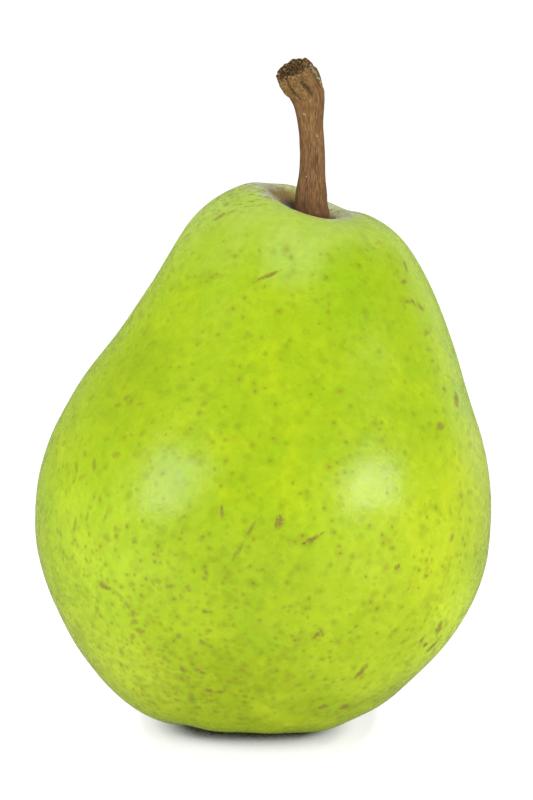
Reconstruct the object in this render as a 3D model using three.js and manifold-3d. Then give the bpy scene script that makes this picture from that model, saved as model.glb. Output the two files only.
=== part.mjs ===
// A ripe green pear that stands on the lobes round its blossom end. Millimetres, +Z up.
//
// The fruit is a lathe of one profile, grown out of round afterwards: a lobed foot, a neck that
// leans towards +X and a crown that is higher on one side. The profile starts in the eye under the
// fruit, runs out over the foot and up the belly, and ends in the socket that holds the stem.
// The stem is a cylinder bent along a path, with a knob and a scar at the end that grew on the
// tree. Five dried sepals and a tuft of dried stamens are what is left of the flower, in the eye.

import * as THREE from "three";
import { NURBSCurve } from "three/addons/curves/NURBSCurve.js";
import { mergeVertices } from "three/addons/utils/BufferGeometryUtils.js";
import Module from "manifold-3d";

const GAP = 0.3; // clearance between pieces that touch

const FRUIT = {
  sectors: 66,
  rings: 54,
  eyeFloor: 10.5, // the top of the small open tube in the middle of the blossom end
  socketFloor: 81,
  // Control points of the skin's curve: radius, height.
  skin: [
    [2.6, 7.2], // the eye's rim
    [3.8, 6.5],
    [8.7, 5.2], // the basin round it
    [11.3, 0.6],
    [14.4, -0.9], // the foot
    [22, 1.6],
    [28.3, 8],
    [36.5, 19],
    [39.9, 32], // the belly
    [38.5, 46],
    [33.2, 57],
    [27, 67], // the neck
    [22.8, 77],
    [17.4, 85.3], // the shoulder
    [12.4, 88.3],
    [8, 89.2], // the crown
    [5.6, 87.5],
    [3.9, 87.2],
    [2.9, 85.6], // the socket's mouth
  ],
};

const FOOT = {
  radius: 14.5, // the ring that the lobes stand on
  width: 5.5, // how far the lobes reach to either side of it
  from: 4, // heights between which the lobes fade out
  to: 16,
  drop: 3, // how much lower a lobe of size 1 is than a furrow
  lobeWidth: 0.44, // in radians
  // Each lobe's bearing from +X in degrees, and its size beside the others.
  lobes: [
    [-148, 1],
    [-109, 0.88],
    [-79, 0.93],
    [-49, 1.45],
    [14, 1.06],
    [96, 1.06],
  ],
  shift: -1.7, // how far the foot stands towards -X
  shiftTo: 15, // the height where the belly has come back to the middle
};

const NECK = {
  shift: 7.5, // how far it stands towards +X
  shiftFrom: 40.5,
  shiftTo: 83,
  tilt: THREE.MathUtils.degToRad(12.5), // how far its level rings slope down towards +X
  nod: THREE.MathUtils.degToRad(3.7), // and towards -Y
  leanFrom: 39,
  leanTo: 92,
};

const CROWN = {
  radius: 8, // the ring of its highest points
  width: 4.5,
  from: 70,
  to: 80,
  lift: 0.7, // its own rise at -X and fall at +X
  saddle: 0.5, // its rise at +X and -X and fall at +Y and -Y
  socketShift: 0.7, // how far the socket is off its middle, towards +X
  socketReach: 9, // the radius where that shift has faded out
};

const STEM = {
  rings: 28,
  sectors: 18,
  // x, height, radius: the root in the socket, the slim middle, the knob, the middle of the scar
  path: [
    [8.2, 81.9, 2.3],
    [8.2, 86.4, 2.4],
    [8.2, 89, 2.95],
    [8.2, 93, 2.1],
    [8.2, 98, 1.65],
    [8.4, 102.9, 1.95],
    [7.6, 107.6, 2.8],
    [5.6, 109.5, 3.7],
    [5, 111.1, 3],
  ],
  scarFrom: 0.7, // the share of the stem's length where it begins to slope into the scar
  scarRise: 0.5, // how far the scar rises for each millimetre towards +Y
  scarDepth: 0.8,
};

const SEPAL = {
  count: 5,
  length: 6.2,
  width: 3.4,
  thickness: 0.8,
  rootRadius: 3,
  rootHeight: 6.3, // just under the eye's rim
  rootLean: THREE.MathUtils.degToRad(38), // away from straight down
  tipLean: THREE.MathUtils.degToRad(84),
  firstTurn: 0.35, // the first sepal's bearing, as a share of the angle between two
};

const TUFT = {
  filaments: 10,
  filamentLength: 3.6,
  filamentRadius: 0.22,
  seatRadius: 1.7,
  seatThickness: 0.9,
  spread: THREE.MathUtils.degToRad(16),
};

const wasm = await Module();
wasm.setup();

const materials = {
  fruit: new THREE.MeshStandardMaterial({ color: 0xa9cf2c, roughness: 0.42 }),
  stem: new THREE.MeshStandardMaterial({ color: 0x7c5a38, roughness: 0.8 }),
  calyx: new THREE.MeshStandardMaterial({ color: 0x4a3322, roughness: 0.9 }),
};

/** 0 below from, 1 above to, and smooth between them. */
const rise = THREE.MathUtils.smoothstep;

/** A cubic curve with continuous curvature that starts and ends on its first and last points. */
function smoothCurve(points) {
  const degree = 3;
  const spans = points.length - degree;
  const knots = [...Array(degree).fill(0)];
  for (let i = 0; i <= spans; i++) knots.push(i / spans);
  knots.push(...Array(degree).fill(1));
  const control = points.map(([x, y, z = 0]) => new THREE.Vector4(x, y, z, 1));
  return new NURBSCurve(degree, knots, control);
}

/** Moves every vertex of a geometry by a function of its place. */
function reshape(geometry, place) {
  const position = geometry.getAttribute("position");
  const point = new THREE.Vector3();
  for (let i = 0; i < position.count; i++) {
    point.fromBufferAttribute(position, i);
    place(point);
    position.setXYZ(i, point.x, point.y, point.z);
  }
  return geometry;
}

/** A geometry with position alone, its shared vertices merged. */
function closed(geometry) {
  const bare = geometry.clone();
  for (const name of Object.keys(bare.attributes)) if (name !== "position") bare.deleteAttribute(name);
  return mergeVertices(bare, 1e-4);
}

/** A closed geometry as a solid that can be joined to others. */
function solid(geometry) {
  const merged = closed(geometry);
  const mesh = new wasm.Mesh({
    numProp: 3,
    vertProperties: new Float32Array(merged.getAttribute("position").array),
    triVerts: new Uint32Array(merged.index.array),
  });
  return new wasm.Manifold(mesh);
}

/** A joined solid as a geometry again. */
function geometryOf(joined) {
  const { vertProperties, triVerts } = joined.getMesh();
  return new THREE.BufferGeometry()
    .setAttribute("position", new THREE.BufferAttribute(vertProperties, 3))
    .setIndex(new THREE.BufferAttribute(triVerts, 1));
}

function piece(name, geometry, material) {
  geometry.computeVertexNormals();
  const mesh = new THREE.Mesh(geometry, material);
  mesh.name = name;
  return mesh;
}

/** The profile before it is grown out of round: radius and height, from the eye to the socket. */
function fruitProfile() {
  const skin = smoothCurve(FRUIT.skin).getPoints(FRUIT.rings);
  const eyeRadius = skin[0].x;
  const socketRadius = skin.at(-1).x;
  return [
    new THREE.Vector2(0, FRUIT.eyeFloor),
    new THREE.Vector2(eyeRadius, FRUIT.eyeFloor),
    ...skin.map(({ x, y }) => new THREE.Vector2(x, y)),
    new THREE.Vector2(socketRadius, FRUIT.socketFloor),
    new THREE.Vector2(0, FRUIT.socketFloor),
  ];
}

/** How much of a lobe stands at a bearing: its size on a lobe's crest, about 0 in a furrow. */
function lobeAt(bearing) {
  const cubes = FOOT.lobes.map(([degrees, size]) => {
    const turn = bearing - THREE.MathUtils.degToRad(degrees);
    const away = Math.atan2(Math.sin(turn), Math.cos(turn));
    return (size * Math.exp(-((away / FOOT.lobeWidth) ** 2))) ** 3;
  });
  return Math.cbrt(cubes.reduce((sum, cube) => sum + cube, 0));
}

/** 1 at the ring's radius, fading to 0 within a few widths of it. */
function nearRing(radius, ring) {
  return Math.exp(-(((radius - ring.radius) / ring.width) ** 2));
}

/** Moves a point of the lathe, or of a piece that stands in its eye, to where the fruit grew. */
function grow(point) {
  const radius = Math.hypot(point.x, point.y);
  const bearing = Math.atan2(point.y, point.x);
  const inFoot = nearRing(radius, FOOT) * (1 - rise(point.z, FOOT.from, FOOT.to));
  const atTop = rise(point.z, CROWN.from, CROWN.to);
  const crownLift = CROWN.saddle * Math.cos(2 * bearing) - CROWN.lift * Math.cos(bearing);
  const furrow = inFoot * FOOT.drop * (1 - lobeAt(bearing));
  const height = point.z + furrow + atTop * nearRing(radius, CROWN) * crownLift;

  const footShift = FOOT.shift * (1 - rise(height, 0, FOOT.shiftTo));
  const neckShift = NECK.shift * rise(height, NECK.shiftFrom, NECK.shiftTo);
  const socketShift = CROWN.socketShift * atTop * (1 - rise(radius, 0, CROWN.socketReach));
  const slope = point.x * Math.tan(NECK.tilt) - point.y * Math.tan(NECK.nod);
  const drop = slope * rise(height, NECK.leanFrom, NECK.leanTo);
  // What would reach below the surface that the fruit stands on is pressed flat on it.
  point.set(point.x + footShift + neckShift + socketShift, point.y, Math.max(height - drop, 0));
}

function fruit() {
  const lathe = new THREE.LatheGeometry(fruitProfile(), FRUIT.sectors).rotateX(Math.PI / 2);
  return piece("fruit", reshape(closed(lathe), grow), materials.fruit);
}

/** A cylinder bent along the stem's path, with the scar at its end sloping and sunk. */
function stem() {
  const { rings, sectors, path, scarFrom, scarRise, scarDepth } = STEM;
  const centre = smoothCurve(path.map(([x, z]) => [x, 0, z]));
  const radii = smoothCurve(path.map(([, z, radius]) => [radius, z]));
  const tube = closed(new THREE.CylinderGeometry(1, 1, 1, sectors, rings)).rotateX(Math.PI / 2);
  const bent = reshape(tube, (point) => {
    const along = point.z + 0.5;
    const sunk = along === 1 ? scarDepth * (1 - Math.hypot(point.x, point.y)) : 0;
    const ahead = centre.getTangent(along);
    const radius = radii.getPoint(along).x;
    const sideways = new THREE.Vector3(ahead.z, 0, -ahead.x).multiplyScalar(point.x * radius);
    const slope = scarRise * point.y * radius * rise(along, scarFrom, 1);
    const at = centre.getPoint(along).add(sideways);
    point.set(at.x, point.y * radius, at.z + slope - sunk);
  });
  return piece("stem", bent, materials.stem);
}

/** One dried sepal: a flattened leaf from the eye's rim, curling outwards under the fruit. */
function sepal(index) {
  const { count, length, width, thickness, rootRadius, rootHeight } = SEPAL;
  const { rootLean, tipLean, firstTurn } = SEPAL;
  const bend = (tipLean - rootLean) / length;
  const leaf = reshape(closed(new THREE.SphereGeometry(0.5, 12, 10)), (point) => {
    const along = 0.5 - point.y;
    const lean = rootLean + bend * length * along;
    const reach = (Math.cos(rootLean) - Math.cos(lean)) / bend;
    const fall = (Math.sin(lean) - Math.sin(rootLean)) / bend;
    const lift = point.z * thickness;
    point.set(
      rootRadius + reach + lift * Math.cos(lean),
      point.x * width * (1.25 - 0.7 * along),
      rootHeight - fall + lift * Math.sin(lean),
    );
  });
  leaf.rotateZ(((index + firstTurn) / count) * 2 * Math.PI);
  return piece(`sepal_${index + 1}`, reshape(leaf, grow), materials.calyx);
}

/** The dried stamens: a small disc seated in the eye with filaments standing down from it. */
function stamenTuft() {
  const { filaments, filamentLength, filamentRadius, seatRadius, seatThickness, spread } = TUFT;
  const seat = new THREE.CylinderGeometry(seatRadius, seatRadius * 0.8, seatThickness, 14);
  let tuft = solid(seat.rotateX(Math.PI / 2));
  for (let i = 0; i < filaments; i++) {
    const filament = new THREE.CylinderGeometry(filamentRadius, filamentRadius * 0.7, filamentLength, 6);
    filament.rotateX(Math.PI / 2).translate(0, 0, -filamentLength / 2);
    filament.rotateY(-spread).translate(seatRadius * 0.55, 0, 0);
    filament.rotateZ((i / filaments) * 2 * Math.PI);
    tuft = tuft.add(solid(filament));
  }
  const joined = geometryOf(tuft).translate(0, 0, FRUIT.eyeFloor - GAP - seatThickness / 2);
  return piece("stamen_tuft", reshape(joined, grow), materials.calyx);
}

const pear = new THREE.Group();
pear.add(fruit(), stem(), stamenTuft());
for (let i = 0; i < SEPAL.count; i++) pear.add(sepal(i));

// The frame's origin is on the surface that the pear stands on, under the middle of its box.
const middle = new THREE.Box3().setFromObject(pear).getCenter(new THREE.Vector3());
pear.position.set(-middle.x, -middle.y, 0);

export default pear;
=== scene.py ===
"""A ripe green pear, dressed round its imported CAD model.

The skin is the CAD fruit's own surface, made smooth, with the low humps of a grown fruit. Lenticels
and russet marks lie on it as thin relief of their own. The stem is built again along the CAD stem's
path, with ridged bark, a fissured knob and the granular scar where it parted from the tree. The
dried calyx in the eye underneath replaces its CAD solids piece by piece.

Lengths in the classes are in millimetres, in the frame's axes. Meshes are in metres.
"""

import logging
import math
from dataclasses import dataclass
from enum import Enum

import bmesh
import bpy
import numpy as np
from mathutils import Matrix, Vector, noise
from mathutils.bvhtree import BVHTree


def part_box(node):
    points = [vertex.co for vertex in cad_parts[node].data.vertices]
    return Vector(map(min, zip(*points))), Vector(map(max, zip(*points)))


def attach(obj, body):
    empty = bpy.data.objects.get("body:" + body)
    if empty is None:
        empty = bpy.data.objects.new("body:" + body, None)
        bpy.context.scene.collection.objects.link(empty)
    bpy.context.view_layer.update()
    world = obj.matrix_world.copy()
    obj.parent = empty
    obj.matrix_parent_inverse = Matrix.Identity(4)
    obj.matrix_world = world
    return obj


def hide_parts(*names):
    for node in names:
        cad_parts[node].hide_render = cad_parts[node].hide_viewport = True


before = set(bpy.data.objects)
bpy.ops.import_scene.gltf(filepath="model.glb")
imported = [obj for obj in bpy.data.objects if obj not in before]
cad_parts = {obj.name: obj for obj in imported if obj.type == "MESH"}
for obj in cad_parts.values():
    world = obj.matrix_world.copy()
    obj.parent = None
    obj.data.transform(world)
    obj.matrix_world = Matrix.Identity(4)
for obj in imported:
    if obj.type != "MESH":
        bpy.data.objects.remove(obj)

MM = 0.001
TURN = 2 * math.pi
log = logging.getLogger("pear")

Material = bpy.types.Material
Mesh = bpy.types.Mesh
Node = bpy.types.Node
Object = bpy.types.Object
Outputs = bpy.types.bpy_prop_collection
Socket = bpy.types.NodeSocket
Tree = bpy.types.NodeTree
Colour = tuple[float, float, float, float]
Spot = tuple[float, float, float]
Feed = Socket | float | tuple[float, ...]
Faces = list[tuple[int, ...]]
Points = np.ndarray


# ---------------------------------------------------------------- numbers


def srgb(red: float, green: float, blue: float) -> Colour:
    """Turns display values into the linear colour that nodes take.

    Args:
        red: From 0 to 255.
        green: From 0 to 255.
        blue: From 0 to 255.

    Returns:
        Linear red, green, blue and an alpha of 1.
    """
    shares = [channel / 255 for channel in (red, green, blue)]
    linear = [s / 12.92 if s <= 0.04045 else ((s + 0.055) / 1.055) ** 2.4 for s in shares]
    return (*linear, 1.0)


def rise(value: Points, start: float, end: float) -> Points:
    """Fades smoothly from 0 at start to 1 at end.

    Args:
        value: Numbers to fade over.
        start: Where the fade begins.
        end: Where it is complete.

    Returns:
        An array of shares from 0 to 1.
    """
    share = np.clip((np.asarray(value, float) - start) / (end - start), 0, 1)
    return share * share * (3 - 2 * share)


def hump(value: Points, middle: float, width: float) -> Points:
    """Gives a bell curve of height 1, which falls to about a third at its width from the middle."""
    return np.exp(-(((np.asarray(value, float) - middle) / width) ** 2))


def off_bearing(turn: Points, line: Points | float) -> Points:
    """Gives how far a bearing is from a line, the short way round."""
    return np.angle(np.exp(1j * (turn - line)))


def grain(points: Points, size: float | Spot, seed: int) -> Points:
    """Samples smooth noise.

    Args:
        points: Places, along the array's last axis.
        size: The size of the noise's features, the same along all axes or one for each.
        seed: Moves the sample to another part of the noise.

    Returns:
        One number from about -1 to 1 for each place.
    """
    scaled = points / np.asarray(size, float) + (17.3 * seed, 5.1 * seed, 11.7 * seed)
    values = [noise.noise(place) for place in scaled.reshape(-1, 3).tolist()]
    return np.array(values).reshape(points.shape[:-1])


def spline(controls: Points, shares: Points) -> Points:
    """Evaluates the clamped uniform cubic spline through the first and last control points.

    Args:
        controls: Control points, one row each.
        shares: Where to evaluate it, from 0 to 1.

    Returns:
        One row for each share.
    """
    degree = 3
    spans = len(controls) - degree
    knots = np.concatenate([np.zeros(degree), np.linspace(0, 1, spans + 1), np.ones(degree)])
    at = np.clip(shares, 0, 1 - 1e-9)[:, None]
    weights = ((knots[:-1] <= at) & (at < knots[1:])).astype(float)
    for order in range(1, degree + 1):
        spread = knots[order:] - knots[:-order]
        ramp = np.where(spread > 0, (at - knots[:-order]) / np.where(spread > 0, spread, 1), 0)
        weights = ramp[:, :-1] * weights[:, :-1] + (1 - ramp[:, 1:]) * weights[:, 1:]
    return weights @ controls


# ---------------------------------------------------------------- nodes


class Graph:
    """Adds nodes to one node tree and hands back the sockets that carry on from them."""

    def __init__(self, tree: Tree) -> None:
        """Keeps the tree and clears what a new material puts in it."""
        self.tree = tree
        tree.nodes.clear()

    def feed(self, socket: Socket, value: Feed) -> None:
        """Links an input to a socket, or sets its value.

        Args:
            socket: The input.
            value: Another node's output, or the value.
        """
        if isinstance(value, Socket):
            self.tree.links.new(value, socket)
        else:
            socket.default_value = value

    def node(self, kind: str, feeds: dict[str | int, Feed] | None = None, **settings: object) -> Node:
        """Adds a node.

        Args:
            kind: The node's type name.
            feeds: What goes into its inputs, by name or number.
            settings: Its other properties.

        Returns:
            The new node.
        """
        node = self.tree.nodes.new(kind)
        for name, value in settings.items():
            setattr(node, name, value)
        for key, value in (feeds or {}).items():
            self.feed(node.inputs[key], value)
        return node

    def out(self, kind: str, feeds: dict[str | int, Feed] | None = None, **settings: object) -> Socket:
        """Adds a node and gives its first output."""
        return self.node(kind, feeds, **settings).outputs[0]

    def math(self, operation: str, *values: Feed) -> Socket:
        """Adds a Math node with its inputs in order."""
        return self.out("ShaderNodeMath", dict(enumerate(values)), operation=operation)

    def times(self, *values: Feed) -> Socket:
        """Multiplies numbers.

        Args:
            values: The numbers, one or more.

        Returns:
            Their product.
        """
        product, *others = values
        for value in others:
            product = self.math("MULTIPLY", product, value)
        return product

    def scaled(self, value: Feed, factor: Feed, added: Feed) -> Socket:
        """Multiplies a number by a factor and adds another."""
        return self.math("MULTIPLY_ADD", value, factor, added)

    def vector(self, operation: str, *values: Feed) -> Socket:
        """Adds a Vector Math node.

        Args:
            operation: What it does, such as MULTIPLY.
            values: Its inputs in order.

        Returns:
            Its vector, or its number where the operation gives one.
        """
        node = self.node("ShaderNodeVectorMath", dict(enumerate(values)), operation=operation)
        gives_number = operation in {"LENGTH", "DISTANCE", "DOT_PRODUCT"}
        return node.outputs["Value" if gives_number else "Vector"]

    def stretch(self, vector: Feed, *factors: float) -> Socket:
        """Multiplies the three parts of a vector by a factor each."""
        return self.vector("MULTIPLY", vector, factors)

    def split(self, vector: Feed) -> Outputs:
        """Gives the three parts of a vector."""
        return self.node("ShaderNodeSeparateXYZ", {0: vector}).outputs

    def join(self, x: Feed = 0.0, y: Feed = 0.0, z: Feed = 0.0) -> Socket:
        """Makes a vector of three numbers."""
        return self.out("ShaderNodeCombineXYZ", {0: x, 1: y, 2: z})

    def fade(self, value: Feed, start: float, end: float, low: Feed = 0.0, high: Feed = 1.0) -> Socket:
        """Adds a smooth fade.

        Args:
            value: What it fades over.
            start: Where the fade begins.
            end: Where it is complete.
            low: The result before start.
            high: The result after end.

        Returns:
            The faded number.
        """
        feeds = dict(enumerate((value, start, end, low, high)))
        return self.out("ShaderNodeMapRange", feeds, interpolation_type="SMOOTHSTEP")

    def mix(self, share: Feed, first: Feed, second: Feed) -> Socket:
        """Mixes two colours: the first at share 0, the second at share 1."""
        return self.node("ShaderNodeMix", {0: share, 6: first, 7: second}, data_type="RGBA").outputs[2]

    def noise(self, place: Feed, size: float, detail: float = 2.0, rough: float = 0.5,
              twist: float = 0.0) -> Socket:
        """Adds a Noise Texture.

        Args:
            place: Where it is read, in millimetres.
            size: The size of its largest features in millimetres.
            detail: How many finer layers it has.
            rough: How strong the finer layers are.
            twist: How much it is distorted.

        Returns:
            Its value, from about 0.25 to 0.75.
        """
        feeds = {"Vector": place, "Scale": 1 / size, "Detail": detail, "Roughness": rough,
                 "Distortion": twist}
        return self.out("ShaderNodeTexNoise", feeds)

    def spots(self, place: Feed, size: float, reach: float, edge: float,
              strength: float) -> tuple[Socket, Socket]:
        """Scatters round spots, one in each cell of a Voronoi Texture.

        Args:
            place: Where the texture is read, in millimetres.
            size: The size of its cells in millimetres.
            reach: The spots' outer radius, as a share of a cell.
            edge: The radius inside which they are full.
            strength: How strong they are there.

        Returns:
            The spots, and a number from 0 to 1 that is each cell's own.
        """
        feeds = {"Vector": place, "Scale": 1 / size, "Randomness": 1.0}
        cells = self.node("ShaderNodeTexVoronoi", feeds).outputs
        own = self.out("ShaderNodeSeparateColor", {0: cells["Color"]})
        return self.fade(cells["Distance"], reach, edge, 0.0, strength), own

    def place(self) -> Socket:
        """Gives the shaded point's place on the object in millimetres."""
        return self.stretch(self.node("ShaderNodeTexCoord").outputs["Object"], 1 / MM, 1 / MM, 1 / MM)

    def attribute(self, name: str, output: str = "Fac") -> Socket:
        """Reads a piece's own attribute, as a number or with another of the node's outputs."""
        return self.node("ShaderNodeAttribute", attribute_name=name).outputs[output]

    def group(self, tree: Tree) -> Outputs:
        """Adds a node group and gives its outputs."""
        return self.node("ShaderNodeGroup", node_tree=tree).outputs

    def surface(self, feeds: dict[str, Feed], relief: Feed, depth: float) -> None:
        """Ends a material with one shader that has a bump.

        Args:
            feeds: What goes into the shader's inputs, by name.
            relief: The height that the bump reads, from 0 to 1.
            depth: How deep a relief of 1 is, in millimetres.
        """
        bump = self.out("ShaderNodeBump", {"Height": relief, "Distance": depth * MM, "Strength": 1.0})
        shader = self.out("ShaderNodeBsdfPrincipled", {**feeds, "Normal": bump})
        self.node("ShaderNodeOutputMaterial", {"Surface": shader})


class Paint:
    """A colour that is mixed by laying others over it."""

    def __init__(self, graph: Graph, colour: Feed) -> None:
        """Keeps the graph and the colour underneath."""
        self.graph = graph
        self.colour = colour

    def lay(self, colour: Feed, *shares: Feed) -> None:
        """Lays a colour over what is there, as thickly as the product of the shares says."""
        self.colour = self.graph.mix(self.graph.times(*shares), self.colour, colour)


def new_graph(name: str) -> tuple[Material, Graph]:
    """Makes a material with nodes.

    Args:
        name: The material's name.

    Returns:
        The material and the graph that fills it.
    """
    material = bpy.data.materials.new(name)
    material.use_nodes = True
    return material, Graph(material.node_tree)


class Growth(Graph):
    """A Geometry Nodes tree that stands copies of one small form on a surface."""

    def __init__(self, name: str, sizes: tuple[str, ...]) -> None:
        """Starts the tree, whose inputs are a geometry, a seed, a finish and the named sizes.

        Args:
            name: The tree's name.
            sizes: The names of its sizes.
        """
        tree = bpy.data.node_groups.new(name, "GeometryNodeTree")
        tree.interface.new_socket("Geometry", in_out="OUTPUT", socket_type="NodeSocketGeometry")
        kinds = {"Geometry": "Geometry", "Seed": "Int", "Finish": "Material"} | dict.fromkeys(sizes, "Float")
        for label, kind in kinds.items():
            tree.interface.new_socket(label, in_out="INPUT", socket_type=f"NodeSocket{kind}")
        super().__init__(tree)
        self.given = self.node("NodeGroupInput").outputs

    def read(self, name: str) -> Socket:
        """Reads a number that is kept on the geometry."""
        node = self.node("GeometryNodeInputNamedAttribute", {"Name": name}, data_type="FLOAT")
        return node.outputs["Attribute"]

    def keep(self, geometry: Feed, name: str, value: Feed) -> Socket:
        """Keeps a number on each point of a geometry."""
        feeds = {"Geometry": geometry, "Name": name, "Value": value}
        return self.out("GeometryNodeStoreNamedAttribute", feeds, data_type="FLOAT", domain="POINT")

    def chance(self, low: Feed, high: Feed, stream: int = 0) -> Socket:
        """Adds a random number, or a random vector where its limits are vectors.

        Args:
            low: The lower limit.
            high: The upper limit.
            stream: What is added to the seed, so that this draw is like no other.

        Returns:
            A number or vector of its own for each point.
        """
        as_vector = isinstance(low, tuple)
        first = 0 if as_vector else 2
        feeds = {first: low, first + 1: high, "Seed": self.math("ADD", self.given["Seed"], float(stream))}
        kind = "FLOAT_VECTOR" if as_vector else "FLOAT"
        return self.node("FunctionNodeRandomValue", feeds, data_type=kind).outputs[0 if as_vector else 1]

    def joined(self, *geometries: Feed) -> Socket:
        """Joins geometries.

        Args:
            geometries: The geometries.

        Returns:
            All of them as one.
        """
        one = self.node("GeometryNodeJoinGeometry")
        for geometry in geometries:
            self.feed(one.inputs[0], geometry)
        return one.outputs[0]

    def stand(self, points: Feed, form: Feed, rotation: Feed, turn: Feed, scale: Feed) -> Socket:
        """Stands a form on each point.

        Args:
            points: The points.
            form: The form, in metres or in shares of the scale.
            rotation: The points' own rotation.
            turn: How the form is turned in it.
            scale: The form's scale.

        Returns:
            The instances.
        """
        feeds = {"Rotation": rotation, "Rotate By": turn}
        turned = self.out("FunctionNodeRotateRotation", feeds, rotation_space="LOCAL")
        feeds = {"Points": points, "Instance": form, "Rotation": turned, "Scale": scale}
        return self.out("GeometryNodeInstanceOnPoints", feeds)

    def finish(self, geometry: Feed) -> None:
        """Ends the tree in plain mesh with the finish that it is given.

        Args:
            geometry: What has grown.
        """
        plain = self.out("GeometryNodeRealizeInstances", {0: geometry})
        feeds = {"Geometry": plain, "Material": self.given["Finish"]}
        self.node("NodeGroupOutput", {0: self.out("GeometryNodeSetMaterial", feeds)})

    def apply(self, carrier: Object, inputs: dict[str, object]) -> None:
        """Puts the tree on an object.

        Args:
            carrier: The object that gets the modifier.
            inputs: Values for the tree's named inputs.
        """
        modifier = carrier.modifiers.new(self.tree.name, "NODES")
        modifier.node_group = self.tree
        items = self.tree.interface.items_tree
        sockets = {item.name: item.identifier for item in items if item.in_out == "INPUT"}
        for label, value in inputs.items():
            modifier[sockets[label]] = value


# ---------------------------------------------------------------- meshes


def linked(name: str, mesh: Mesh) -> Object:
    """Links a new object to the scene.

    Args:
        name: The object's name.
        mesh: The mesh that it shows.

    Returns:
        The object.
    """
    made = bpy.data.objects.new(name, mesh)
    bpy.context.scene.collection.objects.link(made)
    return made


def write_attribute(mesh: Mesh, name: str, values: Points) -> None:
    """Stores a number or a vector on each vertex of a mesh.

    Args:
        mesh: The mesh.
        name: The attribute's name.
        values: One number or one row for each vertex.
    """
    kind, slot = ("FLOAT_VECTOR", "vector") if values.ndim == 2 else ("FLOAT", "value")
    stored = mesh.attributes.new(name, kind, "POINT")
    stored.data.foreach_set(slot, np.ascontiguousarray(values, np.float32).ravel())


def mesh_object(name: str, points: Points, faces: Faces, attributes: dict[str, Points],
                material: Material) -> Object:
    """Makes a smooth-shaded mesh object at the origin.

    Args:
        name: The object's name.
        points: Its vertices in millimetres.
        faces: Its faces by vertex number.
        attributes: Numbers or vectors for each vertex, by name.
        material: Its finish.

    Returns:
        The new object, linked to the scene.
    """
    mesh = bpy.data.meshes.new(name)
    mesh.from_pydata((points * MM).tolist(), [], faces)
    for key, values in attributes.items():
        write_attribute(mesh, key, values)
    mesh.materials.append(material)
    mesh.shade_smooth()
    return linked(name, mesh)


def read_points(mesh: Mesh) -> tuple[Points, Points]:
    """Reads a mesh.

    Args:
        mesh: The mesh to read.

    Returns:
        Its vertices in millimetres and their normals.
    """
    flat = np.empty(len(mesh.vertices) * 3, np.float32)
    mesh.vertices.foreach_get("co", flat)
    points = flat.reshape(-1, 3) / MM
    mesh.vertex_normals.foreach_get("vector", flat)
    return points.astype(float), flat.reshape(-1, 3).astype(float)


def settled(carrier: Object, name: str) -> Object:
    """Turns what an object's modifiers make into a plain mesh object and drops the carrier.

    Args:
        carrier: The object with the modifiers.
        name: The name of the plain object.

    Returns:
        The plain object.
    """
    graph = bpy.context.evaluated_depsgraph_get()
    mesh = bpy.data.meshes.new_from_object(carrier.evaluated_get(graph), depsgraph=graph)
    mesh.name = name
    bpy.data.objects.remove(carrier)
    return linked(name, mesh)


def column_faces(rows: int, count: int) -> Faces:
    """Gives the faces of a column of closed rows of vertices, with a fan at each end.

    Args:
        rows: How many rows there are, from the foot up.
        count: How many vertices a row has. The two ends' middles come after all rows.

    Returns:
        The faces by vertex number.
    """
    foot, top = rows * count, rows * count + 1
    last = foot - count
    after = [(sector + 1) % count for sector in range(count)]
    faces = [(foot, after[sector], sector) for sector in range(count)]
    faces += [(top, last + sector, last + after[sector]) for sector in range(count)]
    for low in range(0, last, count):
        for sector in range(count):
            high = low + count
            faces.append((low + sector, low + after[sector], high + after[sector], high + sector))
    return faces


def face_outwards(mesh: Mesh) -> None:
    """Turns a mesh's faces outwards.

    Args:
        mesh: A closed mesh.
    """
    edit = bmesh.new()
    edit.from_mesh(mesh)
    bmesh.ops.recalc_face_normals(edit, faces=edit.faces)
    edit.to_mesh(mesh)
    edit.free()


def fit(piece: Object, slot: str, *nodes: str) -> None:
    """Makes a finished piece ride on the pear, in place of CAD nodes.

    Args:
        piece: The finished object.
        slot: Not used.
        nodes: The CAD nodes that it stands for.
    """
    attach(piece, "root")
    if nodes:
        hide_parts(*nodes)
    log.info("%s: %d faces", piece.name, len(piece.data.polygons))


# ---------------------------------------------------------------- finishes


@dataclass(frozen=True)
class TintAndPaintedLight:
    """A soft patch where the skin's colour is changed: some are its own tones, some painted light and painted
    reflection.
    """

    place: Spot
    reach: float
    colour: Colour
    strength: float


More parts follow.
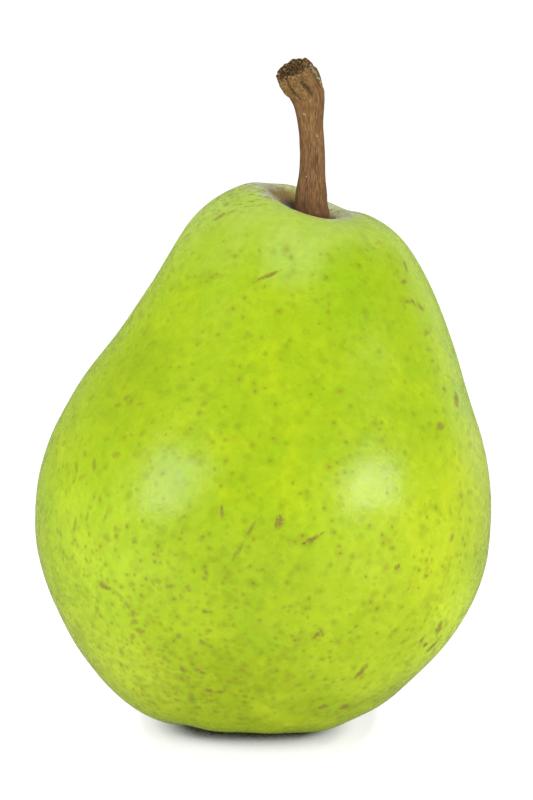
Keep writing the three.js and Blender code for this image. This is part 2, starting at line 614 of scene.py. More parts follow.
@dataclass(frozen=True)
class SkinTone:
    """The skin's colour with its painted light and shade, and its relief, which the lenticels and russet
    marks fade into.
    """

    # painted shade: the foot's colour is darker than the belly's, where the underside gets less light
    foot: Colour = srgb(114, 129, 9)
    belly: Colour = srgb(117, 137, 17)
    # painted reflection: the crown's pale, bluish colour stands in for the light from above mirrored in the
    # wax
    crown: Colour = srgb(127, 145, 56)
    ripe: Colour = srgb(133, 148, 15)
    green: Colour = srgb(111, 137, 16)
    dot: Colour = srgb(94, 112, 22)
    cavity: Colour = srgb(103, 79, 45)
    # painted shade: the throat darkens the cavity deep down by the stem
    throat: Colour = srgb(54, 40, 23)
    bloom: Colour = srgb(152, 145, 140)
    eye: Colour = srgb(92, 74, 38)
    freckle: Colour = srgb(92, 100, 36)
    cavity_middle: Spot = (6.8, 0.5, 0.0)
    cavity_floor: float = 78.0
    eye_middle: Spot = (-1.4, 0.0, 0.0)
    freckles_middle: Spot = (-4.0, -4.0, 88.5)
    tints_and_painted_light: tuple[TintAndPaintedLight, ...] = (
        TintAndPaintedLight((16.0, -20.0, 78.0), 12.0, srgb(104, 132, 10), 1.1),
        # painted reflection: these two pale, bluish patches on the crown's front stand in for the light from
        # above
        TintAndPaintedLight((5.0, -17.0, 81.0), 8.0, srgb(124, 144, 60), 1.2),
        TintAndPaintedLight((-8.0, -16.0, 84.0), 9.0, srgb(128, 145, 60), 1.0),
        # painted light: brightens the skin low on the left
        TintAndPaintedLight((-20.0, -28.0, 12.0), 13.0, srgb(134, 148, 36), 0.9),
        # painted highlight: brightens the skin under the right highlight
        TintAndPaintedLight((26.0, -28.0, 35.0), 20.0, srgb(142, 155, 20), 1.0),
        TintAndPaintedLight((19.0, -20.0, 65.0), 18.0, srgb(112, 135, 14), 0.8),
        # painted light: a pale, bright patch on the low left limb
        TintAndPaintedLight((-28.0, -16.0, 12.0), 17.0, srgb(152, 168, 42), 0.6),
        TintAndPaintedLight((-27.0, -27.0, 32.0), 21.0, srgb(132, 153, 36), 1.0),
        TintAndPaintedLight((-22.0, -20.0, 62.0), 14.0, srgb(101, 121, 11), 1.0),
        TintAndPaintedLight((14.0, -34.0, 19.0), 16.0, srgb(131, 149, 22), 1.0),
        # painted highlight: brightens round the right highlight, widening it
        TintAndPaintedLight((13.5, -36.0, 41.0), 14.0, srgb(129, 148, 26), 1.0),
        TintAndPaintedLight((-9.5, -14.0, 82.5), 10.5, srgb(112, 134, 16), 1.15),
        TintAndPaintedLight((19.0, -25.0, 12.5), 10.0, srgb(134, 151, 22), 1.2),
        TintAndPaintedLight((-13.0, -35.0, 24.0), 11.0, srgb(129, 149, 23), 0.9),
        # painted light: brightens the low right limb
        TintAndPaintedLight((32.0, -14.0, 18.0), 16.0, srgb(150, 168, 34), 1.1),
        TintAndPaintedLight((25.0, -14.0, 75.0), 11.0, srgb(108, 128, 14), 0.8),
        # painted light: a paler patch on the right edge
        TintAndPaintedLight((36.0, -12.0, 42.0), 17.0, srgb(140, 148, 24), 1.0),
    )

    def group(self) -> Tree:
        """Builds the node group.

        Returns:
            A shader group with a Colour, and with a Relief from 0 to 1.
        """
        tree = bpy.data.node_groups.new("skin_tone", "ShaderNodeTree")
        tree.interface.new_socket("Colour", in_out="OUTPUT", socket_type="NodeSocketColor")
        tree.interface.new_socket("Relief", in_out="OUTPUT", socket_type="NodeSocketFloat")
        graph = Graph(tree)
        paint = SkinPaint(graph, self)
        for layer in (paint.flesh, paint.mottle, paint.dots, paint.cavity, paint.freckles, paint.eye):
            layer()
        fine = graph.noise(paint.place, 0.7, 2.0, 0.6)
        broad = graph.noise(paint.place, 2.6, 1.0)
        relief = graph.scaled(fine, 0.4, graph.times(broad, 0.6))
        graph.node("NodeGroupOutput", {"Colour": paint.colour, "Relief": relief})
        return tree


class SkinPaint(Paint):
    """The skin's colours and their painted light and shade, laid over each other from the flesh outwards."""

    def __init__(self, graph: Graph, tone: SkinTone) -> None:
        """Starts from the foot's colour.

        Args:
            graph: The graph that the layers are added to.
            tone: Their colours.
        """
        super().__init__(graph, tone.foot)
        self.tone = tone
        self.place = graph.place()
        self.height = graph.split(self.place)[2]

    def flesh(self) -> None:
        """Lays the broad colours: greener and duller at the foot, with painted shade there, paler at the
        crown, with a painted reflection of the light from above there, in patches, and the tints, some of
        them painted light.
        """
        graph, tone = self.graph, self.tone
        broad = graph.noise(self.place, 17.0, 2.0, 0.5, 0.4)
        swayed = graph.scaled(broad, 30.0, graph.math("SUBTRACT", self.height, 15.0))
        self.lay(tone.belly, graph.fade(swayed, 4.0, 34.0))
        self.lay(tone.crown, graph.fade(swayed, 75.0, 89.0))
        patches = graph.noise(self.place, 8.0, 3.0, 0.55, 0.6)
        self.lay(tone.ripe, graph.fade(patches, 0.50, 0.72, 0.0, 0.55))
        self.lay(tone.green, graph.fade(patches, 0.48, 0.28, 0.0, 0.55))
        # the tints: some are the skin's own tones, some painted light and painted reflection
        for tint_and_light in tone.tints_and_painted_light:
            away = graph.vector("DISTANCE", self.place, tint_and_light.place)
            self.lay(tint_and_light.colour, graph.fade(away, tint_and_light.reach, tint_and_light.reach * 0.25, 0.0, tint_and_light.strength), broad)

    def mottle(self) -> None:
        """Lightens and darkens the flesh by a few parts in a hundred, and varies its green."""
        graph = self.graph
        small = graph.noise(self.place, 1.5, 3.0, 0.65)
        drift = graph.noise(self.place, 4.2, 2.0, 0.5)
        fine = graph.fade(small, 0.3, 0.7, 0.94, 1.06)
        shade = graph.times(fine, graph.fade(drift, 0.32, 0.68, 0.96, 1.04))
        green = graph.math("DIVIDE", shade, graph.fade(drift, 0.36, 0.64, 0.97, 1.0))
        self.colour = graph.vector("MULTIPLY", self.colour, graph.join(shade, green, shade))

    def dots(self) -> None:
        """Lays the faint green dots under the skin, in two sizes."""
        for size, reach, strength in ((2.1, 0.24, 0.5), (1.2, 0.26, 0.35)):
            self.lay(self.tone.dot, *self.graph.spots(self.place, size, reach, reach * 0.3, strength))

    def cavity(self) -> None:
        """Lays the russet of the stem's cavity, a painted shade deep in it by the stem, and the streaky pale
        bloom on its rim.
        """
        graph, tone = self.graph, self.tone
        level = graph.stretch(graph.vector("SUBTRACT", self.place, tone.cavity_middle), 1.0, 1.0, 0.0)
        away = graph.vector("LENGTH", level)
        bearing = graph.vector("NORMALIZE", level)
        on_top = graph.fade(self.height, tone.cavity_floor, tone.cavity_floor + 6.0)
        wobble = graph.scaled(graph.noise(self.place, 2.2, 3.0, 0.6), 2.6, -1.3)
        ragged = graph.math("ADD", away, wobble)
        outward = graph.join(z=graph.times(away, 0.3))
        along = graph.vector("ADD", graph.stretch(bearing, 7.0, 7.0, 0.0), outward)
        streaks = graph.noise(along, 1.0, 4.0, 0.7, 1.0)
        facing = graph.fade(graph.split(bearing)[1], -0.97, -0.75, 0.35, 1.0)
        rim = graph.times(graph.fade(ragged, 4.8, 6.4), graph.fade(ragged, 11.0, 8.0), facing, on_top)
        self.lay(tone.cavity, graph.fade(ragged, 7.4, 4.8), on_top, 0.9)
        # painted shade deep in the cavity by the stem
        self.lay(tone.throat, graph.fade(ragged, 4.2, 2.7), on_top)
        self.lay(tone.cavity, rim, graph.fade(streaks, 0.48, 0.36, 0.0, 0.75))
        self.lay(tone.bloom, rim, graph.fade(streaks, 0.46, 0.58, 0.1, 0.95))

    def freckles(self) -> None:
        """Lays short level dashes on the crown, beside the cavity."""
        graph = self.graph
        away = graph.vector("DISTANCE", self.place, self.tone.freckles_middle)
        dashes = graph.noise(graph.stretch(self.place, 0.6, 1.0, 1.5), 0.8, 2.0, 0.5, 0.3)
        self.lay(self.tone.freckle, graph.fade(away, 9.0, 4.0), graph.fade(dashes, 0.54, 0.64, 0.0, 0.75))

    def eye(self) -> None:
        """Lays the russet round the eye underneath."""
        graph, tone = self.graph, self.tone
        level = graph.stretch(graph.vector("SUBTRACT", self.place, tone.eye_middle), 1.0, 1.0, 0.0)
        away = graph.math("SUBTRACT", graph.vector("LENGTH", level), 3.0)
        ragged = graph.scaled(graph.noise(self.place, 1.8, 3.0, 0.7), 6.0, away)
        self.lay(tone.eye, graph.fade(ragged, 11.0, 4.0), graph.fade(self.height, 12.0, 9.0))


@dataclass(frozen=True)
class Wax:
    """The skin's natural wax and the flesh that shows through it."""

    roughness: float = 0.27
    uneven: float = 0.05
    coat: float = 0.04
    coat_roughness: float = 0.15
    specular: float = 0.29
    bloom: float = 0.05
    bloom_roughness: float = 0.3
    glow_through: float = 0.12
    glow_depth: float = 1.2
    glow_shares: Spot = (1.0, 1.0, 0.25)
    relief: float = 0.09

    def feeds(self, colour: Feed, roughness: Feed) -> dict[str, Feed]:
        """Gives the surface's inputs.

        Args:
            colour: The colour under the wax.
            roughness: How dull the wax is.

        Returns:
            Each input's name with its value.
        """
        return {
            "Base Color": colour,
            "Roughness": roughness,
            "Specular IOR Level": self.specular,
            "Coat Weight": self.coat,
            "Coat Roughness": self.coat_roughness,
            "Sheen Weight": self.bloom,
            "Sheen Roughness": self.bloom_roughness,
            "Subsurface Weight": self.glow_through,
            "Subsurface Radius": self.glow_shares,
            "Subsurface Scale": self.glow_depth * MM,
        }


@dataclass(frozen=True)
class SkinFinish:
    """Waxy pear skin."""

    tone: Tree
    wax: Wax = Wax()

    def material(self) -> Material:
        """Builds the material.

        Returns:
            The material.
        """
        material, graph = new_graph("pear_skin")
        tone = graph.group(self.tone)
        wax = self.wax
        smudges = graph.noise(graph.place(), 3.0, 3.0, 0.6)
        roughness = graph.fade(smudges, 0.3, 0.7, wax.roughness - wax.uneven, wax.roughness + wax.uneven)
        graph.surface(wax.feeds(tone["Colour"], roughness), tone["Relief"], wax.relief)
        return material


@dataclass(frozen=True)
class LenticelFinish:
    """The corky specks through which the fruit breathes: a dark core in a soft halo under the wax."""

    tone: Tree
    wax: Wax = Wax()
    green_halo: Colour = srgb(98, 116, 16)
    tan_halo: Colour = srgb(120, 110, 28)
    green_core: Colour = srgb(72, 86, 8)
    brown_core: Colour = srgb(92, 74, 12)

    def material(self) -> Material:
        """Builds the material: each speck's colour is its own, and its rim is the skin's.

        Returns:
            The material.
        """
        material, graph = new_graph("pear_lenticels")
        skin = graph.group(self.tone)
        own = graph.attribute("tone")
        kind = graph.fade(own, 0.45, 0.75)
        wobble = graph.math("SUBTRACT", graph.noise(graph.place(), 0.35, 2.0), 0.5)
        ragged = graph.scaled(wobble, 0.6, graph.attribute("radial"))
        depth = graph.math("FRACT", graph.times(own, 7.0))
        halo = graph.mix(kind, self.green_halo, self.tan_halo)
        core = graph.mix(kind, self.green_core, self.brown_core)
        paint = Paint(graph, skin["Colour"])
        paint.lay(halo, graph.fade(ragged, 0.95, 0.05), graph.fade(depth, 0.0, 1.0, 0.15, 0.7))
        paint.lay(core, graph.fade(ragged, 0.45, 0.05), graph.fade(depth, 0.35, 1.0, 0.0, 0.5))
        graph.surface(self.wax.feeds(paint.colour, self.wax.roughness), skin["Relief"], self.wax.relief)
        return material


@dataclass(frozen=True)
class RussetFinish:
    """Rubbed and healed marks: thin cork in mauve-brown and tan."""

    tone: Tree
    wax: Wax = Wax()
    brown: Colour = srgb(84, 74, 24)
    tan: Colour = srgb(112, 98, 36)
    roughness: float = 0.55
    relief: float = 0.05

    def material(self) -> Material:
        """Builds the material, broken up inside and fading into the skin at its rim.

        Returns:
            The material.
        """
        material, graph = new_graph("pear_russet")
        flecks = graph.noise(graph.place(), 0.45, 3.0, 0.6)
        cork = graph.mix(graph.fade(flecks, 0.38, 0.62), self.brown, self.tan)
        ragged = graph.scaled(flecks, 1.4, graph.math("SUBTRACT", graph.attribute("radial"), 0.7))
        share = graph.times(graph.fade(ragged, 1.0, 0.5, 0.0, 0.8), graph.attribute("tone"))
        roughness = graph.fade(share, 0.0, 1.0, self.wax.roughness, self.roughness)
        colour = graph.mix(share, graph.group(self.tone)["Colour"], cork)
        graph.surface(self.wax.feeds(colour, roughness), flecks, self.relief)
        return material


@dataclass(frozen=True)
class BarkFinish:
    """The stem's bark, its corky knob and the broken wood of its scar."""

    dark: Colour = srgb(68, 46, 28)
    middle: Colour = srgb(93, 66, 43)
    light: Colour = srgb(118, 91, 62)
    fleck: Colour = srgb(158, 136, 108)
    cork: Colour = srgb(112, 88, 54)
    gap: Colour = srgb(62, 44, 26)
    # painted highlight: the pale grey-green strip that stands in for a glint down the knob's right edge
    lichen: Colour = srgb(126, 126, 104)
    # dark of the scar's broken wood, and the painted shade in the cracks and deep in the scar's hollow
    pit: Colour = srgb(36, 25, 15)
    crumb: Colour = srgb(112, 88, 56)
    roughness: float = 0.75
    specular: float = 0.2
    relief: float = 0.12

    def material(self) -> Material:
        """Builds the material: lengthwise streaks, cork granules on the knob, pits in the scar, painted shade
        in the cracks and deep in the scar's hollow, and a painted glint down the knob's right edge.

        Returns:
            The material.
        """
        material, graph = new_graph("stem_bark")
        place = graph.place()
        fibre = graph.attribute("fibre", "Vector")
        streaks = graph.noise(graph.stretch(fibre, 1.0, 1.0, 0.16), 0.24, 3.0, 0.6)
        granules = graph.noise(place, 0.32, 3.0, 0.65)
        bark = Paint(graph, self.dark)
        self._weather(bark, place, fibre, streaks)
        cork = graph.mix(graph.fade(granules, 0.36, 0.64), self.gap, self.cork)
        bark.lay(cork, graph.attribute("knob"), 0.6)
        # painted highlight: the pale strip down the knob's right edge, broken by the granules
        bark.lay(self.lichen, graph.attribute("lichen"), graph.fade(granules, 0.4, 0.6))
        # painted shade: the cracks, cut into the bark, are darkened as well
        bark.lay(self.pit, graph.attribute("fissure"), 0.8)
        broken = Paint(graph, self.pit)
        broken.lay(self.crumb, graph.fade(granules, 0.42, 0.66))
        # painted shade: darker deep in the scar's hollow
        broken.lay(self.pit, graph.attribute("hollow"), 0.5)
        bark.lay(broken.colour, graph.attribute("scar"))
        relief = graph.scaled(streaks, 0.5, graph.times(granules, 0.5))
        feeds = {"Base Color": bark.colour, "Roughness": self.roughness, "Specular IOR Level": self.specular}
        graph.surface(feeds, relief, self.relief)
        return material

    def _weather(self, bark: Paint, place: Feed, fibre: Feed, streaks: Feed) -> None:
        """Lays the plain bark's colours: streaks, a few pale specks and a dark foot, and darkens the flanks
        as painted shade.

        Args:
            bark: What they are laid on.
            place: The shaded point's place.
            fibre: Its place on the unbent stem.
            streaks: The fine streaks along the stem.
        """
        graph = bark.graph
        broad_streaks = graph.noise(graph.stretch(fibre, 1.0, 1.0, 0.1), 0.7, 3.0, 0.6)
        blotches = graph.noise(place, 1.4, 4.0, 0.65)
        bark.lay(self.middle, graph.fade(broad_streaks, 0.36, 0.62))
        bark.lay(self.light, graph.fade(streaks, 0.44, 0.66, 0.0, 0.75))
        bark.lay(self.dark, graph.fade(streaks, 0.44, 0.3, 0.0, 0.5))
        bark.lay(self.dark, graph.fade(blotches, 0.56, 0.36, 0.0, 0.3))
        flecks, own = graph.spots(place, 1.9, 0.1, 0.04, 0.8)
        bark.lay(self.fleck, flecks, graph.fade(own, 0.5, 0.65))
        foot = graph.fade(graph.split(place)[2], 92.0, 85.5, 0.0, 0.6)
        # the darker foot, and the flanks darkened as painted shade
        bark.lay(self.dark, graph.math("MAXIMUM", foot, graph.times(graph.attribute("flank"), 0.5)))


@dataclass(frozen=True)
class CalyxFinish:
    """What is left of the flower: brittle brown leaves with darker veins."""

    dark: Colour = srgb(46, 32, 22)
    brown: Colour = srgb(92, 66, 42)
    edge: Colour = srgb(142, 112, 76)
    roughness: float = 0.85
    specular: float = 0.25
    relief: float = 0.12

    def material(self) -> Material:
        """Builds the material.

        Returns:
            The material.
        """
        material, graph = new_graph("dried_calyx")
        place = graph.place()
        veins = graph.noise(place, 0.9, 4.0, 0.65, 0.6)
        leaf = Paint(graph, self.dark)
        leaf.lay(self.brown, graph.fade(veins, 0.38, 0.62))
        leaf.lay(self.edge, graph.fade(graph.noise(place, 0.35, 2.0), 0.55, 0.72, 0.0, 0.7))
        feeds = {"Base Color": leaf.colour, "Roughness": self.roughness, "Specular IOR Level": self.specular}
        graph.surface(feeds, veins, self.relief)
        return material


@dataclass(frozen=True)
class Shade:
    """A soft shade on the board under what stands above it, inside an ellipse.

    The shade is full where the board is only as open as full says, and ends where it is as open as
    clear says. In the full shade the least share of the light is left.
    """

    reach: float
    middle: Spot
    half_widths: tuple[float, float]
    full: float
    clear: float
    least: float

    def light(self, graph: Graph) -> Feed:
        """Adds the shade to a board.

        Args:
            graph: The board's graph.

        Returns:
            The share of light left.
        """
        feeds = {"Distance": self.reach * MM}
        openness = graph.node("ShaderNodeAmbientOcclusion", feeds, samples=8).outputs["AO"]
        level = graph.vector("SUBTRACT", graph.place(), self.middle)
        level = graph.stretch(level, 1 / self.half_widths[0], 1 / self.half_widths[1], 0.0)
        outside = graph.fade(graph.vector("LENGTH", level), 0.6, 1.04)
        return graph.math("MAXIMUM", graph.fade(openness, self.full, self.clear, self.least, 1.0), outside)


@dataclass(frozen=True)
class FloorFinish:
    """A board with little gloss, dark in itself and white by its own glow, as a light table is.

    It glows with its own strength for the camera, for the light that it throws on the pear, and for
    what the pear's wax mirrors.
    """

    base: Colour = (0.06, 0.06, 0.06, 1.0)
    roughness: float = 0.3
    specular: float = 0.25
    glow: float = 1.0
    fill: float = 2.15
    shaded_fill: float = 0.6
    mirrored: float = 0.08
    plain: Colour = (1.0, 1.0, 1.0, 1.0)
    warmth: Colour = (1.0, 1.0, 0.6, 1.0)
    contact: Shade = Shade(16.0, (-2.0, 0.0, 0.0), (18.2, 41.0), 0.205, 0.28, 0.0)
    skirt: Shade = Shade(40.0, (-0.8, 0.0, 0.0), (21.8, 43.0), 0.25, 0.68, 0.79)

    def material(self) -> Material:
        """Builds the material: the glow fades where the pear stands close above the board.

        Returns:
            The material.
        """
        material, graph = new_graph("white_board")
        contact = self.contact.light(graph)
        share = graph.times(contact, self.skirt.light(graph))
        path = graph.node("ShaderNodeLightPath").outputs
        bounce = graph.fade(share, 0.0, 1.0, self.fill * self.shaded_fill, self.fill)
        glow = graph.times(path["Is Camera Ray"], share, self.glow)
        glow = graph.scaled(path["Is Diffuse Ray"], bounce, glow)
        glow = graph.scaled(path["Is Glossy Ray"], graph.times(share, self.mirrored), glow)
        feeds = {
            "Base Color": self.base,
            "Roughness": self.roughness,
            "Specular IOR Level": graph.times(contact, self.specular),
            "Emission Color": graph.mix(path["Is Diffuse Ray"], self.plain, self.warmth),
            "Emission Strength": glow,
        }
        graph.surface(feeds, graph.noise(graph.place(), 4.0), 0.01)
        material.cycles.emission_sampling = "NONE"
        return material


# ---------------------------------------------------------------- pieces


@dataclass(frozen=True)
class Swell:
    """A low hump of the skin, or a hollow where its height is below 0."""

    place: Spot
    reach: Spot
    height: float


SWELLS = (
    # round the stem's cavity
    Swell((5.0, 9.5, 89.8), (4.2, 6.0, 6.0), 1.05),
    Swell((14.5, 8.0, 87.0), (2.6, 4.0, 4.0), -0.45),
    Swell((-6.0, 3.0, 90.6), (5.0, 8.0, 4.0), -0.22),
    Swell((-12.5, 2.0, 85.3), (3.5, 8.0, 4.0), 0.15),
    # the shoulders and the neck
    Swell((22.5, 2.0, 82.5), (7.0, 14.0, 6.0), 0.34),
    Swell((-18.0, 1.0, 76.8), (6.0, 12.0, 5.0), -0.24),
    Swell((28.5, 0.0, 75.0), (6.0, 14.0, 5.0), -0.2),
    Swell((-30.5, 0.0, 59.3), (8.0, 16.0, 5.0), 0.3),
    Swell((32.5, 0.0, 63.5), (8.0, 16.0, 4.5), 0.28),
    Swell((36.0, 0.0, 54.0), (8.0, 16.0, 3.5), -0.15),
    # the belly
    Swell((39.0, 0.0, 41.0), (14.0, 18.0, 7.0), 0.38),
    Swell((36.0, 0.0, 24.0), (14.0, 18.0, 9.0), 0.2),
    Swell((-31.4, 0.0, 12.3), (8.0, 16.0, 6.2), 0.6),
    Swell((17.0, -6.0, 2.0), (7.0, 9.0, 4.5), 0.85),
    Swell((-11.5, -8.0, 1.8), (4.5, 8.0, 3.0), -1.6),
)


@dataclass
class Fruit:
    """The flesh and skin: the CAD fruit's surface, smoothed and grown slightly uneven."""

    finish: SkinFinish
    levels: int = 2
    lump_size: float = 17.0
    lump_height: float = 0.3
    ripple_size: float = 5.0
    ripple_height: float = 0.05
    swells: tuple[Swell, ...] = SWELLS
    speck_low: float = 8.0
    speck_high: float = 82.0
    thinning: float = 0.62
    drift: float = 0.4
    drift_size: float = 11.0
    speckled_flank: Spot = (-26.0, -26.0, 20.0)
    flank_reach: float = 26.0

    def build(self) -> Object:
        """Makes the skin.

        Returns:
            The skin's object, with a speck_share for each vertex.
        """
        carrier = linked("fruit_cage", self._cage())
        smoothing = carrier.modifiers.new("smooth", "SUBSURF")
        smoothing.levels = smoothing.render_levels = self.levels
        skin = settled(carrier, "pear_skin")
        self._grow(skin.data)
        skin.data.materials.clear()
        skin.data.materials.append(self.finish.material())
        skin.data.shade_smooth()
        fit(skin, "skin", "fruit")
        return skin

    def _cage(self) -> Mesh:
        """Copies the CAD fruit's mesh, joins its loose triangles and pairs them into quads.

        Returns:
            The mesh.
        """
        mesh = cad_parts["fruit"].data.copy()
        edit = bmesh.new()
        edit.from_mesh(mesh)
        bmesh.ops.remove_doubles(edit, verts=edit.verts, dist=0.01 * MM)
        bmesh.ops.join_triangles(edit, faces=edit.faces, angle_face_threshold=math.radians(50),
                                 angle_shape_threshold=math.radians(60))
        edit.to_mesh(mesh)
        edit.free()
        return mesh

    def _grow(self, mesh: Mesh) -> None:
        """Raises the humps along the normals, and notes where specks grow thick.

        Args:
            mesh: The skin's mesh.
        """
        points, normals = read_points(mesh)
        lift = self.lump_height * grain(points, self.lump_size, 1)
        lift += self.ripple_height * grain(points, self.ripple_size, 2)
        for swell in self.swells:
            away = np.linalg.norm((points - swell.place) / swell.reach, axis=1)
            lift += swell.height * hump(away, 0, 1)
        off_the_ground = rise(points[:, 2], 0.2, 6.0)
        grown = points + normals * (lift * off_the_ground)[:, None]
        mesh.vertices.foreach_set("co", (grown * MM).astype(np.float32).ravel())
        mesh.update()
        write_attribute(mesh, "speck_share", self._speck_share(points))

    def _speck_share(self, points: Points) -> Points:
        """Gives the share of specks: more towards the foot, in drifts, none in eye or socket.

        Args:
            points: The skin's vertices.

        Returns:
            A share from 0 to 1 for each.
        """
        height = points[:, 2]
        outside = rise(height, 1.0, self.speck_low) * (1 - rise(height, self.speck_high, self.speck_high + 6))
        thicker = 1 - self.thinning * rise(height, 12.0, 60.0)
        drifts = (1 - self.drift) + self.drift * rise(grain(points, self.drift_size, 3), -0.35, 0.35)
        flank = hump(np.linalg.norm(points - self.speckled_flank, axis=1), 0, self.flank_reach)
        return outside * np.clip(thicker * drifts * (0.75 + 0.25 * flank), 0, 1)


@dataclass
class Lenticels:
    """Small corky specks scattered over the skin by Geometry Nodes.

    The smallest and the largest size are a speck's radius with its halo. Its core is under half that.
    """

    finish: LenticelFinish
    per_square_metre: float = 1.0e6
    spacing: float = 0.95
    smallest: float = 0.4
    largest: float = 0.85
    thickness: float = 0.012
    rarity: float = 2.2
    sides: int = 8
    seed: int = 7

    def build(self, skin: Object) -> None:
        """Scatters the specks, all in one object.

        Args:
            skin: The pear's skin.
        """
        carrier = linked("lenticel_bed", skin.data.copy())
        self._tree().apply(carrier, {
            "Specks per square metre": self.per_square_metre,
            "Spacing": self.spacing * MM,
            "Smallest": self.smallest * MM,
            "Largest": self.largest * MM,
            "Thickness": self.thickness * MM,
            "Seed": self.seed,
            "Finish": self.finish.material(),
        })
        specks = settled(carrier, "lenticels")
        specks.data.set_sharp_from_angle(angle=math.radians(60))
        fit(specks, "skin")

    def _tree(self) -> Growth:
        """Builds the tree: points on the skin, a flat lens on each, then plain mesh.

        Returns:
            The tree. Most specks are small, and each has a tone of its own.
        """
        sizes = ("Specks per square metre", "Spacing", "Smallest", "Largest", "Thickness")
        graph = Growth("scatter_lenticels", sizes)
        given = graph.given
        scattered = graph.node("GeometryNodeDistributePointsOnFaces", {
            "Mesh": given["Geometry"], "Distance Min": given["Spacing"], "Seed": given["Seed"],
            "Density Max": given["Specks per square metre"], "Density Factor": graph.read("speck_share"),
        }, distribute_method="POISSON").outputs
        points = graph.keep(scattered["Points"], "tone", graph.chance(0.0, 1.0, 1))
        size = graph.math("POWER", graph.chance(0.0, 1.0, 2), self.rarity)
        spread = graph.math("SUBTRACT", given["Largest"], given["Smallest"])
        radius = graph.scaled(size, spread, given["Smallest"])
        longer = graph.times(radius, graph.chance(0.9, 1.5, 3))
        scale = graph.join(radius, longer, given["Thickness"])
        turn = graph.join(z=graph.chance(0.0, TURN, 4))
        graph.finish(graph.stand(points, self._lens(graph), scattered["Rotation"], turn, scale))
        return graph

    def _lens(self, graph: Growth) -> Feed:
        """Adds a closed lens with a radius of 1, which stands up 1 and goes down 1 at its middle.

        Args:
            graph: The tree that it is added to.

        Returns:
            The lens, smooth all over, with each point's distance from its axis kept as radial.
        """
        cone = graph.node("GeometryNodeMeshCone", {
            "Vertices": self.sides, "Side Segments": 1, "Fill Segments": 1,
            "Radius Top": 0.35, "Radius Bottom": 1.0, "Depth": 1.0}, fill_type="TRIANGLE_FAN")
        place = graph.out("GeometryNodeInputPosition")
        level = graph.vector("LENGTH", graph.stretch(place, 1.0, 1.0, 0.0))
        kept = graph.keep(cone.outputs["Mesh"], "radial", level)
        squared = graph.math("POWER", graph.read("radial"), 2.0)
        x, y, z = graph.split(place)
        above = graph.math("GREATER_THAN", z, 0.01)
        domed = graph.times(graph.math("SUBTRACT", 1.0, squared), above)
        under = graph.times(graph.math("SUBTRACT", squared, 1.0), graph.math("SUBTRACT", 1.0, above))
        feeds = {"Geometry": kept, "Position": graph.join(x, y, graph.math("ADD", domed, under))}
        lens = graph.out("GeometryNodeSetPosition", feeds)
        return graph.out("GeometryNodeSetShadeSmooth", {0: lens})


@dataclass(frozen=True)
class Mark:
    """A healed rub on the side that faces -Y, or on the far side where it says so."""

    across: float
    height: float
    length: float
    width: float
    lean: float
    strength: float
    behind: bool = False


@dataclass
class RussetMarks:
    """Thin raised patches of cork laid on the skin."""

    finish: RussetFinish
    marks: tuple[Mark, ...]
    rings: int = 5
    sectors: int = 22
    thickness: float = 0.03
    raggedness: float = 0.35
    clear: float = 80.0

    def build(self, skin: Object) -> None:
        """Lays all marks on the skin, all in one object.

        Args:
            skin: The pear's skin.
        """
        bed = BVHTree.FromPolygons([v.co / MM for v in skin.data.vertices],
                                   [p.vertices for p in skin.data.polygons])
        points = [self._lay(bed, mark, number) for number, mark in enumerate(self.marks)]
        size = len(points[0])
        faces = [tuple(start * size + corner for corner in face)
                 for start in range(len(points)) for face in self._faces()]
        rings = np.repeat(np.linspace(0, 1, self.rings + 1), [1] + [self.sectors] * self.rings)
        radial = np.concatenate([rings, np.ones(self.sectors)])
        attributes = {
            "radial": np.tile(radial, len(points)),
            "tone": np.repeat([mark.strength for mark in self.marks], size),
        }
        piece = mesh_object("russet_marks", np.concatenate(points), faces, attributes, self.finish.material())
        piece.data.set_sharp_from_angle(angle=math.radians(60))
        fit(piece, "skin")

    def _lay(self, bed: BVHTree, mark: Mark, number: int) -> Points:
        """Places one mark's vertices.

        Args:
            bed: The skin, for finding the nearest place on it.
            mark: The mark.
            number: Its place in the list, which seeds its ragged outline.

        Returns:
            Its vertices: the middle, its rings from there outwards, and the underside's rim.
        """
        side = 1 if mark.behind else -1
        outside = Vector((mark.across, self.clear * side, mark.height))
        centre, normal, _, _ = bed.ray_cast(outside, Vector((0, -side, 0)))
        level = Vector((-normal.y, normal.x, 0)).normalized()
        lean = math.radians(mark.lean)
        length_way = level * math.cos(lean) + normal.cross(level) * math.sin(lean)
        width_way = normal.cross(length_way)
        top: list[Vector] = [centre + normal * self.thickness]
        bottom: list[Vector] = []
        for ring in range(1, self.rings + 1):
            share = ring / self.rings
            for sector in range(self.sectors):
                turn = TURN * sector / self.sectors
                cos, sin = math.cos(turn), math.sin(turn)
                reach = share * (1 + self.raggedness * noise.noise((3 * cos, 3 * sin, 7.7 * number)))
                sideways = length_way * (mark.length / 2 * reach * cos)
                sideways += width_way * (mark.width / 2 * reach * sin)
                spot, out, _, _ = bed.find_nearest(centre + sideways)
                top.append(spot + out * self.thickness * (1 - share**2))
                if ring == self.rings:
                    bottom.append(spot - out * self.thickness)
        return np.array([tuple(place) for place in top + bottom])

    def _faces(self) -> Faces:
        """Gives the faces of one mark.

        Returns:
            A fan, rings of quads, a short wall and a flat underside, by vertex number.
        """
        count = self.sectors
        faces: Faces = []
        for sector in range(count):
            after = (sector + 1) % count
            faces.append((0, 1 + sector, 1 + after))
            for inner in range(1, 1 + self.rings * count, count):
                outer = inner + count
                faces.append((inner + sector, outer + sector, outer + after, inner + after))
        faces.append(tuple(1 + self.rings * count + sector for sector in reversed(range(count))))
        return faces


